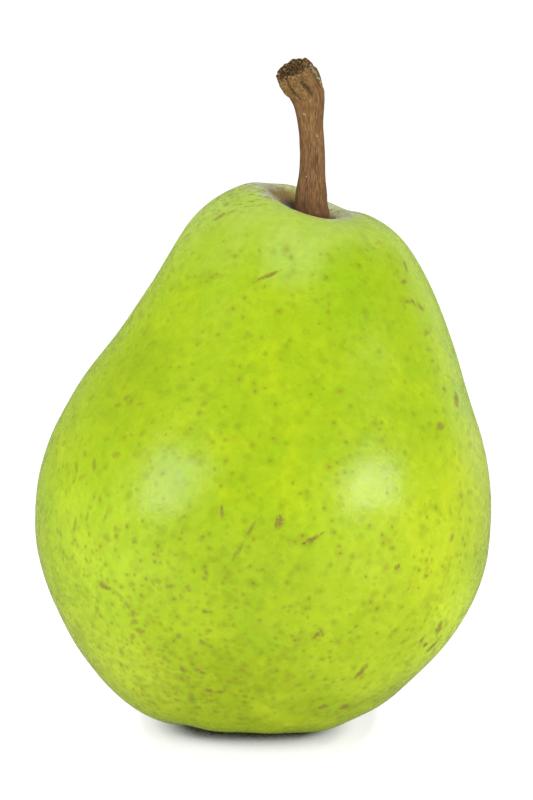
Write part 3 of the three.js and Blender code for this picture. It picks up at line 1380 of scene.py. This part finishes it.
@dataclass(frozen=True)
class Fissure:
    """A crack that runs down the stem's bark."""

    turn: float
    start: float
    end: float
    lean: float
    width: float
    depth: float

    def groove(self, along: Points, turn: Points, wander: Points) -> Points:
        """Gives the crack's shape.

        Args:
            along: Each row's share of the stem's length.
            turn: Each column's bearing.
            wander: How far the crack strays at each vertex, in shares of its width.

        Returns:
            The share of its full depth at each vertex.
        """
        share = (along - self.start) / (self.end - self.start)
        line = math.radians(self.turn) + math.radians(self.lean) * (share - 0.5)
        width = math.radians(self.width)
        window = rise(share, 0, 0.25) * (1 - rise(share, 0.85, 1.0))
        return hump(off_bearing(turn[None, :], line[:, None]) + wander * width, 0, width) * window[:, None]


@dataclass(frozen=True)
class Grain:
    """A layer of the bark's unevenness: its height, and what the knob and the foot add to it."""

    size: Spot
    seed: int
    height: float
    on_knob: float
    on_foot: float = 0.0


BARK_GRAINS = (
    # ridges, fine grain, lumps and warts
    Grain((1.15, 1.15, 14.0), 4, 0.07, 0.15, 0.05),
    Grain((0.5, 0.5, 5.0), 5, 0.035, 0.04),
    Grain((1.6, 1.6, 2.2), 6, 0.04, 0.22),
    Grain((0.7, 0.7, 0.8), 7, 0.015, 0.15),
)


@dataclass
class Stem:
    """The stalk: ridged bark from the flared foot to the knob, and the scar that ends it.

    Each place of its path gives X, Z and the radius there.
    """

    finish: BarkFinish
    path: tuple[Spot, ...] = (
        (8.2, 81.9, 2.3),
        (8.2, 86.4, 2.4),
        (8.2, 89.0, 2.95),
        (8.38, 92.97, 2.08),
        (8.51, 98.01, 2.07),
        (7.93, 102.93, 1.94),
        (7.82, 107.76, 3.06),
        (5.89, 109.71, 3.41),
        (5.07, 111.56, 2.96),
    )
    step: float = 1e-4
    rings: int = 230
    scar_rings: int = 30
    sectors: int = 132
    knob_from: float = 0.74
    scar_from: float = 0.7
    scar_rise: float = 0.41
    scar_depth: float = 1.1
    scar_lip: float = 0.25
    scar_lumps: float = 0.55
    scar_crumbs: float = 0.28
    fibre_radius: float = 2.5
    fibre_end: float = 31.0
    oval: float = 0.05
    collar_height: float = 86.9
    collar_swell: float = 0.5
    collar_width: float = 1.3
    # painted highlight: the bearing and width of the pale strip down the knob's right edge
    lichen_turn: float = -19.0
    lichen_width: float = 4.5
    crack_wander: float = 0.25
    grains: tuple[Grain, ...] = BARK_GRAINS
    fissures: tuple[Fissure, ...] = (
        Fissure(-72.0, 0.80, 0.97, -6.0, 5.0, 0.45),
        Fissure(-24.0, 0.82, 1.10, 8.0, 5.0, 0.5),
        Fissure(-4.0, 0.76, 1.02, -4.0, 4.0, 0.3),
        Fissure(-118.0, 0.86, 1.02, 10.0, 4.0, 0.3),
        Fissure(40.0, 0.78, 1.05, 10.0, 6.0, 0.4),
        Fissure(110.0, 0.80, 1.05, -8.0, 5.0, 0.45),
        Fissure(170.0, 0.84, 1.05, 5.0, 5.0, 0.35),
    )

    def build(self) -> None:
        """Makes the stem."""
        turn = np.linspace(0, TURN, self.sectors, endpoint=False)
        bark, outer = self._bark(turn)
        scar, inner = self._scar(bark[-1], turn)
        rows = np.concatenate([bark, scar])
        ends = np.array([rows[0].mean(axis=0), rows[-1].mean(axis=0)])
        attributes: dict[str, Points] = {}
        for key in outer:
            values = np.concatenate([outer[key], inner[key]]).reshape(rows[..., 0].size, -1)
            attributes[key] = np.concatenate([values, values[:1], values[-1:]]).squeeze()
        points = np.concatenate([rows.reshape(-1, 3), ends])
        faces = column_faces(len(rows), self.sectors)
        piece = mesh_object("pear_stem", points, faces, attributes, self.finish.material())
        fit(piece, "stem_wood", "stem")

    def _notes(self, turn: Points, length: Points, **shares: Points | float) -> dict[str, Points]:
        """Gives every vertex the attributes that the finish reads.

        Args:
            turn: Each column's bearing.
            length: Each row's way along the stem.
            shares: Those that aren't 0 all over, by name.

        Returns:
            The attributes, with each vertex's place on the unbent stem as fibre.
        """
        round_it = (self.fibre_radius * np.cos(turn), self.fibre_radius * np.sin(turn))
        fibre = np.stack(np.broadcast_arrays(*round_it, length[:, None]), -1)
        names = ("fissure", "flank", "lichen", "knob", "hollow", "scar")
        return {"fibre": fibre} | {name: shares.get(name, 0.0) + np.zeros(fibre.shape[:2]) for name in names}

    def _bark(self, turn: Points) -> tuple[Points, dict[str, Points]]:
        """Places the bark.

        Args:
            turn: The bearing of each column of vertices.

        Returns:
            Rows of vertices from the root up, and their attributes.
        """
        along = np.linspace(0, 1, self.rings)
        path = np.array(self.path)
        middle = spline(path, along)
        ahead = (spline(path, along + self.step) - spline(path, along - self.step))[:, :2]
        ahead /= np.linalg.norm(ahead, axis=1)[:, None]
        cos, sin = np.cos(turn)[None, :], np.sin(turn)[None, :]
        length = np.concatenate([[0], np.cumsum(np.linalg.norm(np.diff(middle[:, :2], axis=0), axis=1))])
        # painted highlight: where the pale strip runs down the knob
        lichen = hump(off_bearing(turn, math.radians(self.lichen_turn)), 0, math.radians(self.lichen_width))
        attributes = self._notes(
            turn, length,
            # painted shade: the stem's left and right sides are darkened
            flank=rise(np.abs(cos), 0.6, 1.0),
            lichen=lichen * rise(along, 0.8, 0.86)[:, None],
            knob=rise(along, 0.83, 0.93)[:, None],
            scar=rise(along, 0.985, 1.0)[:, None],
        )
        fibre = attributes["fibre"]
        radius = middle[:, 2:3] * (1 + self.oval * np.cos(2 * turn + 0.8)[None, :])
        radius += self._relief(fibre, along)
        wander = self.crack_wander * grain(fibre, (2.0, 2.0, 1.2), 8)
        cracks = np.zeros(radius.shape)
        for fissure in self.fissures:
            groove = fissure.groove(along, turn, wander)
            radius -= groove * fissure.depth
            cracks = np.maximum(cracks, groove)
        # the cracks' share, which the finish darkens as painted shade
        attributes["fissure"] = np.clip(cracks * 0.9, 0, 1)
        radius += self.collar_swell * hump(middle[:, 1], self.collar_height, self.collar_width)[:, None]
        slope = self.scar_rise * sin * radius * rise(along, self.scar_from, 1)[:, None]
        x = middle[:, 0:1] + ahead[:, 1:2] * cos * radius
        z = middle[:, 1:2] - ahead[:, 0:1] * cos * radius + slope
        return np.stack([x, sin * radius, z], -1), attributes

    def _relief(self, fibre: Points, along: Points) -> Points:
        """Gives the bark's ridges, grain, lumps and warts.

        Args:
            fibre: Each vertex's place on the unbent stem.
            along: Each row's share of its length.

        Returns:
            The height at each vertex.
        """
        knob = rise(along, self.knob_from, 0.9)[:, None]
        foot = (1 - rise(along, 0.16, 0.42))[:, None]
        relief = np.zeros(fibre.shape[:2])
        for layer in self.grains:
            height = layer.height + layer.on_knob * knob + layer.on_foot * foot
            relief += grain(fibre, layer.size, layer.seed) * height
        return relief

    def _scar(self, rim: Points, turn: Points) -> tuple[Points, dict[str, Points]]:
        """Places the scar inside the bark's last row: a broken rim round a granular hollow.

        Args:
            rim: The bark's last row.
            turn: The bearing of each column of vertices.

        Returns:
            Rows of vertices from the rim inwards, and their attributes.
        """
        centre = rim.mean(axis=0)
        quarter = self.sectors // 4
        out = np.cross(rim[0] - rim[2 * quarter], rim[quarter] - rim[3 * quarter])
        out /= np.linalg.norm(out)
        inward = np.linspace(1, 0, self.scar_rings + 2)[1:-1]
        spots = centre + (rim - centre)[None, :, :] * inward[:, None, None]
        lip = self.scar_lip * hump(inward, 0.93, 0.08)[:, None]
        hollow = self.scar_depth * (1 - inward**2)[:, None]
        lumps = self.scar_lumps * grain(spots, 1.1, 9) * rise(1 - inward, 0, 0.2)[:, None]
        height = lip - hollow + lumps + self.scar_crumbs * grain(spots, 0.45, 10)
        # where the finish paints shade deep in the scar's hollow
        deep = rise(1 - inward, 0.12, 0.5)[:, None]
        length = np.full(self.scar_rings, self.fibre_end)
        return spots + out * height[:, :, None], self._notes(turn, length, knob=1.0, hollow=deep, scar=1.0)


@dataclass
class Calyx:
    """The dried flower in the eye: a curled leaf for each CAD sepal, and the stamens."""

    finish: CalyxFinish
    leaves: int = 5
    rows: int = 30
    columns: int = 14
    half_width: float = 1.7
    thickness: float = 0.3
    ragged_edge: float = 0.16
    curl: float = 0.35
    wrinkle: float = 0.35
    keel: float = 0.1
    inset: float = 0.5
    root_radius: float = 2.7
    seat_radius: float = 1.65
    seat_height: float = 0.42
    seat_rows: int = 10
    seat_sides: int = 36
    filament_length: float = 3.3
    filament_radius: float = 0.11
    filament_bend: float = 0.22
    anther_size: float = 2.4
    filaments: int = 26
    tuft_radius: float = 1.5
    seed: int = 3

    def build(self) -> None:
        """Makes the leaves and the stamens."""
        material = self.finish.material()
        low, high = (np.array(corner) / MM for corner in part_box("stamen_tuft"))
        for number in range(1, self.leaves + 1):
            self._leaf(number, (low + high) / 2, material)
        self._stamens(low, high, material)

    def _leaf(self, number: int, eye: Points, material: Material) -> None:
        """Makes one leaf from the eye's rim out under the fruit.

        Args:
            number: The CAD sepal's number.
            eye: The middle of the eye.
            material: The calyx's material.
        """
        low, high = (np.array(corner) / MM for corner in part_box(f"sepal_{number}"))
        middle = (low + high) / 2 - eye
        bearing = math.atan2(middle[1], middle[0])
        outward = np.array([math.cos(bearing), math.sin(bearing), 0])
        sideways = np.array([-math.sin(bearing), math.cos(bearing), 0])
        tip_radius = 2 * math.hypot(middle[0], middle[1]) - self.root_radius
        sides = np.linspace(-1, 1, self.columns)
        along, across = np.meshgrid(np.linspace(0, 1, self.rows), sides, indexing="ij")
        flat = np.stack([along * 6, across * 1.6, np.full(along.shape, 9.0 * number)], -1)
        width = self.half_width * (0.55 + 0.9 * along) * (1 - along) ** 0.55
        width = width * (1 + self.ragged_edge * grain(flat, 0.5, 12) * np.abs(across)) + 0.05
        reach = self.root_radius + (tip_radius - self.root_radius) * (1 - (1 - along) ** 1.3)
        drop = high[2] - self.inset - (high[2] - low[2] - 0.9) * (1 - (1 - along) ** 1.6)
        curl = -self.curl * across**2 * along + self.wrinkle * grain(flat, 1.4, 11) * along
        curl += self.keel * hump(across, 0, 0.16)
        centre = eye * (1, 1, 0) + outward * reach[..., None] + sideways * (across * width)[..., None]
        centre[..., 2] = drop + curl
        out = np.cross(np.gradient(centre, axis=1), np.gradient(centre, axis=0))
        out /= np.maximum(np.linalg.norm(out, axis=-1, keepdims=True), 1e-9)
        half = self.thickness / 2 * (1 - 0.6 * across**2)[..., None]
        points = np.concatenate([(centre + out * half).reshape(-1, 3), (centre - out * half).reshape(-1, 3)])
        piece = mesh_object(f"dried_sepal_{number}", points, self._leaf_faces(), {}, material)
        face_outwards(piece.data)
        fit(piece, "dried_calyx", f"sepal_{number}")

    def _leaf_faces(self) -> Faces:
        """Gives a leaf's faces.

        Returns:
            An upper and a lower sheet and the wall round them, by vertex number.
        """
        grid = np.arange(self.rows * self.columns).reshape(self.rows, self.columns)
        corners = (grid[:-1, :-1], grid[:-1, 1:], grid[1:, 1:], grid[1:, :-1])
        faces: Faces = []
        for sheet in zip(*(corner.ravel().tolist() for corner in corners)):
            faces += [sheet, tuple(grid.size + corner for corner in reversed(sheet))]
        sides = (grid[0], grid[1:, -1], grid[-1, -2::-1], grid[-2:0:-1, 0])
        border = np.concatenate(sides).tolist()
        for first, second in zip(border, border[1:] + border[:1]):
            faces.append((second, first, grid.size + first, grid.size + second))
        return faces

    def _stamens(self, low: Points, high: Points, material: Material) -> None:
        """Makes the dried stamens: a seat, with filaments grown on it by Geometry Nodes.

        Args:
            low: The CAD tuft's lowest corner.
            high: Its highest corner.
            material: The calyx's material.
        """
        carrier = self._seat(low, high, material)
        self._filament_tree().apply(carrier, {
            "Filaments per square metre": self.filaments / (math.pi * (self.tuft_radius * MM) ** 2),
            "Length": self.filament_length * MM,
            "Radius": self.filament_radius * MM,
            "Seed": self.seed,
            "Finish": material,
        })
        fit(settled(carrier, "dried_stamens"), "dried_calyx", "stamen_tuft")

    def _seat(self, low: Points, high: Points, material: Material) -> Object:
        """Makes the lumpy disc that the filaments stand on.

        Args:
            low: The CAD tuft's lowest corner.
            high: Its highest corner.
            material: The calyx's material.

        Returns:
            The disc's object.
        """
        lean = np.linspace(0.03, math.pi - 0.03, self.seat_rows)[:, None]
        turn = np.linspace(0, TURN, self.seat_sides, endpoint=False)[None, :]
        middle = (low + high) / 2
        radius = self.seat_radius * np.sin(lean) ** 0.6
        height = high[2] - self.inset - self.seat_height * np.cos(lean)
        spots = np.stack([middle[0] + radius * np.cos(turn), middle[1] + radius * np.sin(turn),
                          height + 0 * turn], -1)
        spots[..., 2] += 0.08 * grain(spots, 0.6, 13)
        ends = np.array([[middle[0], middle[1], height[0, 0]], [middle[0], middle[1], height[-1, 0]]])
        points = np.concatenate([spots.reshape(-1, 3), ends])
        faces = column_faces(self.seat_rows, self.seat_sides)
        seat = mesh_object("stamen_seat", points, faces, {}, material)
        face_outwards(seat.data)
        return seat

    def _filament_tree(self) -> Growth:
        """Builds the tree: bent filaments with an anther each on the seat's underside.

        Returns:
            The tree.
        """
        graph = Growth("grow_filaments", ("Filaments per square metre", "Length", "Radius"))
        given = graph.given
        normal = graph.out("GeometryNodeInputNormal")
        downwards = graph.vector("DOT_PRODUCT", normal, (0.0, 0.0, -1.0))
        under = graph.math("GREATER_THAN", downwards, 0.6)
        scattered = graph.node("GeometryNodeDistributePointsOnFaces", {
            "Mesh": given["Geometry"], "Selection": under,
            "Density": given["Filaments per square metre"], "Seed": given["Seed"]}).outputs
        tip = graph.join(graph.times(given["Length"], self.filament_bend), 0.0, given["Length"])
        halfway = graph.join(z=graph.times(given["Length"], 0.55))
        line = graph.out("GeometryNodeCurvePrimitiveBezierSegment", {
            "Resolution": 7, "Start": (0.0, 0.0, 0.0), "Start Handle": halfway,
            "End Handle": halfway, "End": tip})
        ring = graph.out("GeometryNodeCurvePrimitiveCircle", {"Resolution": 6, "Radius": given["Radius"]})
        thread = graph.out("GeometryNodeCurveToMesh", {
            "Curve": line, "Profile Curve": ring, "Fill Caps": True})
        head = graph.out("GeometryNodeMeshUVSphere", {
            "Segments": 7, "Rings": 5, "Radius": graph.times(given["Radius"], self.anther_size)})
        anther = graph.out("GeometryNodeTransform", {
            "Geometry": head, "Translation": tip, "Scale": (1.0, 0.7, 1.5)})
        form = graph.joined(thread, anther)
        lean = graph.chance((-0.3, -0.3, 0.0), (0.3, 0.3, TURN))
        placed = graph.stand(scattered["Points"], form, scattered["Rotation"], lean, graph.chance(0.7, 1.0))
        graph.finish(graph.joined(given["Geometry"], placed))
        return graph


# ---------------------------------------------------------------- studio


class Beam(Enum):
    """What a lamp's light does: plain light leaves highlights, polarised light leaves none."""

    PLAIN = "plain"
    POLARISED = "polarised"


def stand_off(thing: Object, aim: Vector, way: Spot, distance: float) -> None:
    """Stands a lamp or a camera off from a place and turns it to face that place.

    Args:
        thing: The lamp or the camera.
        aim: The place, in metres.
        way: The direction from there to the thing.
        distance: How far off it stands.
    """
    thing.location = aim + Vector(way) * distance * MM
    thing.rotation_euler = Vector(way).to_track_quat("Z", "Y").to_euler()
    bpy.context.scene.collection.objects.link(thing)


@dataclass(frozen=True)
class SoftBox:
    """A soft lamp that faces the pear, by default a side of the tent round it."""

    name: str
    brightness: float
    bearing: float
    elevation: float = 25.0
    distance: float = 800.0
    width: float = 1600.0
    height: float = 900.0
    beam: Beam = Beam.POLARISED

    def build(self, aim: Vector) -> None:
        """Makes the lamp.

        Args:
            aim: The place that it faces, in metres.
        """
        data = bpy.data.lights.new(self.name, "AREA")
        data.shape = "RECTANGLE"
        data.size = self.width * MM
        data.size_y = self.height * MM
        data.energy = self.brightness * math.pi * data.size * data.size_y
        lamp = bpy.data.objects.new(self.name, data)
        bearing, elevation = math.radians(self.bearing), math.radians(self.elevation)
        level = math.cos(elevation)
        way = (math.cos(bearing) * level, math.sin(bearing) * level, math.sin(elevation))
        stand_off(lamp, aim, way, self.distance)
        lamp.visible_camera = False
        if self.beam is Beam.POLARISED:
            lamp.visible_glossy = False
            data.cycles.use_multiple_importance_sampling = False


@dataclass
class Studio:
    """A white board in a tent of polarised lamps, the soft boxes and the camera."""

    floor: FloorFinish = FloorFinish()
    boxes: tuple[SoftBox, ...] = (
        SoftBox("soft_box_left", 6.6, -142.3, 21.0, 620.0, 295.0, 305.0, Beam.PLAIN),
        SoftBox("soft_box_right", 9.8, -34.5, 14.5, 620.0, 305.0, 145.0, Beam.PLAIN),
        SoftBox("kicker", 0.43, 45.0, 10.0, 800.0, 500.0, 400.0, Beam.PLAIN),
        SoftBox("tent_front", 1.65, -90.0),
        SoftBox("tent_left", 2.05, 180.0),
        SoftBox("tent_back", 1.6, 90.0),
        SoftBox("tent_right", 2.35, 0.0),
        SoftBox("tent_top", 1.5, -90.0, 90.0, 900.0, height=1600.0),
    )
    reach: float = 8000.0
    floor_height: float = -0.02
    aim: Spot = (0.64, 0.0, 54.8)
    camera_distance: float = 600.0
    camera_elevation: float = 9.0
    focal_length: float = 157.5
    whiteness: float = 1.5
    mirrored: float = 0.18

    def build(self) -> None:
        """Makes the board, the room, the lamps and the camera."""
        self._board()
        self._room()
        for box in self.boxes:
            box.build(Vector(self.aim) * MM)
        self._camera()
        bpy.context.scene.view_settings.view_transform = "Standard"

    def _board(self) -> None:
        """Makes the board that the pear stands on."""
        sides = ((-1, -1), (1, -1), (1, 1), (-1, 1))
        corners = np.array([(x * self.reach, y * self.reach, self.floor_height) for x, y in sides])
        board = mesh_object("white_board", corners, [(0, 1, 2, 3)], {}, self.floor.material())

    def _room(self) -> None:
        """Makes the world: white where it is seen, and without light of its own."""
        world = bpy.data.worlds.new("white_room")
        bpy.context.scene.world = world
        world.use_nodes = True
        graph = Graph(world.node_tree)
        path = graph.node("ShaderNodeLightPath").outputs
        strength = graph.times(path["Is Camera Ray"], self.whiteness)
        strength = graph.scaled(path["Is Glossy Ray"], self.mirrored, strength)
        background = graph.out("ShaderNodeBackground", {"Color": (1.0, 1.0, 1.0, 1.0), "Strength": strength})
        graph.node("ShaderNodeOutputWorld", {"Surface": background})

    def _camera(self) -> None:
        """Makes the camera and makes it the scene's own."""
        data = bpy.data.cameras.new("camera")
        data.lens = self.focal_length
        data.clip_start = 0.01
        data.clip_end = 50.0
        camera = bpy.data.objects.new("camera", data)
        elevation = math.radians(self.camera_elevation)
        way = (0.0, -math.cos(elevation), math.sin(elevation))
        stand_off(camera, Vector(self.aim) * MM, way, self.camera_distance)
        bpy.context.scene.camera = camera


# ---------------------------------------------------------------- marks


def far_marks(count: int, seed: int) -> tuple[Mark, ...]:
    """Draws the marks of the side that faces +Y.

    Args:
        count: How many there are.
        seed: Seeds the draw.

    Returns:
        The marks.
    """
    draw = np.random.default_rng(seed)
    made: list[Mark] = []
    for _ in range(count):
        length = 0.9 + 3.0 * draw.random() ** 3
        height = 8 + 68 * draw.random() ** 1.6
        reach = 31 - 18 * float(rise(height, 30, 76)) - 12 * float(rise(height, 22, 6))
        across = draw.uniform(-reach, reach)
        width = min(0.5 + 0.6 * draw.random(), length)
        lean, strength = draw.uniform(-70, 70), draw.uniform(0.4, 0.9)
        made.append(Mark(across, height, length, width, lean, strength, behind=True))
    return tuple(made)


def flank_marks(count: int, seed: int) -> tuple[Mark, ...]:
    """Draws the small tan blotches low on the left of the side that faces -Y.

    Args:
        count: How many there are.
        seed: Seeds the draw.

    Returns:
        The marks.
    """
    draw = np.random.default_rng(seed)
    made: list[Mark] = []
    for _ in range(count):
        height = 5 + 34 * draw.random()
        reach = 35 - 15 * float(rise(height, 22, 4))
        length = draw.uniform(0.6, 1.6)
        across = -reach * draw.random() ** 0.7
        width = length * draw.uniform(0.5, 0.9)
        lean, strength = draw.uniform(-70, 70), draw.uniform(0.3, 0.75)
        made.append(Mark(across, height, length, width, lean, strength))
    return tuple(made)


NEAR_MARKS = (
    # the neck and the shoulders
    Mark(0.8, 78.7, 5.6, 0.9, 27, 0.9),
    Mark(-7.3, 87.2, 2.8, 1.4, 50, 0.85),
    Mark(-12.8, 83.6, 2.8, 1.1, 33, 0.7),
    Mark(32.5, 56.7, 3.4, 2.2, 50, 1.0),
    Mark(29.5, 53.5, 2.8, 1.8, 13, 0.8),
    Mark(24.0, 78.9, 2.7, 1.0, 58, 0.9),
    Mark(23.5, 76.7, 2.4, 1.1, 1, 0.9),
    Mark(24.1, 73.6, 2.3, 0.9, -7, 0.8),
    Mark(25.1, 73.4, 1.7, 1.1, -68, 0.85),
    Mark(26.4, 72.3, 2.3, 1.0, -31, 1.0),
    Mark(27.4, 68.3, 2.6, 1.2, 14, 0.75),
    Mark(27.7, 65.7, 1.9, 0.8, 10, 0.7),
    Mark(28.4, 63.7, 1.6, 0.8, -18, 0.7),
    Mark(30.4, 58.9, 1.8, 0.9, -29, 0.8),
    Mark(-22.5, 58.5, 1.8, 1.0, 39, 0.8),
    Mark(-21.6, 58.2, 1.5, 0.8, -76, 0.7),
    Mark(-23.9, 57.2, 2.1, 1.0, 16, 0.7),
    # the belly
    Mark(2.7, 41.0, 2.9, 1.8, 78, 1.0),
    Mark(7.9, 38.1, 5.0, 1.1, 27, 1.0),
    Mark(-6.6, 42.4, 2.9, 0.7, -86, 1.0),
    Mark(-1.9, 39.8, 3.4, 0.8, 62, 0.75),
    Mark(-4.0, 36.2, 5.6, 0.8, 60, 0.65),
    Mark(-26.0, 28.2, 4.8, 1.1, -10, 1.0),
    Mark(-27.8, 47.7, 2.8, 1.1, -60, 0.6),
    Mark(-31.1, 37.5, 2.6, 1.1, 73, 0.65),
    Mark(-14.9, 29.9, 2.3, 1.0, 5, 0.6),
    # the left flank
    Mark(-34.7, 47.8, 2.2, 0.9, -52, 0.61),
    Mark(-24.1, 49.9, 2.2, 1.3, 7, 0.54),
    Mark(-27.7, 48.0, 2.7, 0.8, -72, 0.48),
    Mark(-30.9, 46.8, 2.8, 0.9, -52, 0.65),
    Mark(-30.0, 45.4, 1.9, 1.0, 32, 0.48),
    Mark(-25.7, 40.1, 2.3, 0.7, 66, 0.51),
    Mark(-31.0, 37.8, 3.2, 0.8, 87, 0.51),
    Mark(-26.7, 42.6, 1.8, 0.9, -75, 0.61),
    Mark(-28.9, 39.5, 1.9, 0.8, 80, 0.48),
    Mark(-20.1, 57.9, 2.0, 0.8, 16, 0.48),
    Mark(-33.7, 35.3, 1.6, 0.9, -61, 0.54),
    Mark(-31.6, 31.9, 2.5, 1.0, 40, 0.51),
    Mark(-25.5, 36.5, 2.3, 1.3, -23, 0.48),
    Mark(-31.2, 51.0, 1.7, 0.8, 86, 0.54),
    Mark(-29.5, 49.1, 1.9, 0.8, -40, 0.54),
    Mark(-32.7, 42.3, 1.9, 0.7, -67, 0.51),
    # low on the left: rubs in a broken arc
    Mark(-23.7, 27.3, 3.0, 0.8, -34, 0.53),
    Mark(-22.2, 25.6, 1.8, 1.2, -50, 0.66),
    Mark(-21.2, 24.2, 2.2, 1.4, 60, 0.75),
    Mark(-21.1, 22.8, 2.3, 1.1, 20, 0.66),
    Mark(-20.2, 21.2, 2.5, 1.4, 0, 0.75),
    Mark(-21.5, 19.8, 2.3, 1.1, 52, 0.66),
    Mark(-23.5, 16.4, 2.3, 1.4, 60, 0.62),
    Mark(-24.0, 13.9, 2.0, 1.0, -42, 0.53),
    Mark(-13.1, 14.6, 2.0, 1.2, -18, 0.79),
    Mark(-10.3, 14.6, 3.0, 1.0, -34, 0.84),
    Mark(-8.9, 10.8, 1.8, 1.2, -10, 0.84),
    Mark(-6.9, 10.7, 2.1, 1.0, 30, 0.79),
    Mark(-11.8, 8.8, 4.1, 1.5, 80, 0.62),
    Mark(-10.8, 7.0, 1.7, 1.2, 10, 0.7),
    Mark(-8.5, 8.7, 1.6, 1.0, -12, 0.7),
    # the right flank, and low on the right
    Mark(22.0, 32.3, 1.5, 1.1, 37, 0.9),
    Mark(31.3, 35.4, 1.8, 1.2, 65, 0.85),
    Mark(29.5, 19.4, 3.5, 2.2, -68, 1.0),
    Mark(28.5, 15.8, 3.9, 1.6, 42, 1.0),
    Mark(26.5, 17.9, 1.6, 1.5, -10, 1.0),
    Mark(27.2, 16.7, 1.5, 1.4, -20, 1.0),
    Mark(16.2, 13.6, 4.8, 1.6, 70, 1.0),
    Mark(13.7, 6.3, 2.3, 2.0, 5, 1.0),
    Mark(10.1, 7.0, 2.2, 1.4, 11, 1.0),
    Mark(8.9, 21.7, 2.9, 1.2, 50, 1.0),
)


def main() -> None:
    """Builds the pear and the studio round the CAD frame."""
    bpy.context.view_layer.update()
    tone = SkinTone().group()
    skin = Fruit(SkinFinish(tone)).build()
    Lenticels(LenticelFinish(tone)).build(skin)
    marks = NEAR_MARKS + flank_marks(90, seed=11) + far_marks(40, seed=5)
    RussetMarks(RussetFinish(tone), marks).build(skin)
    Stem(BarkFinish()).build()
    Calyx(CalyxFinish()).build()
    Studio().build()


if __name__ == "__main__":
    logging.basicConfig(level=logging.INFO, format="%(message)s")
    main()
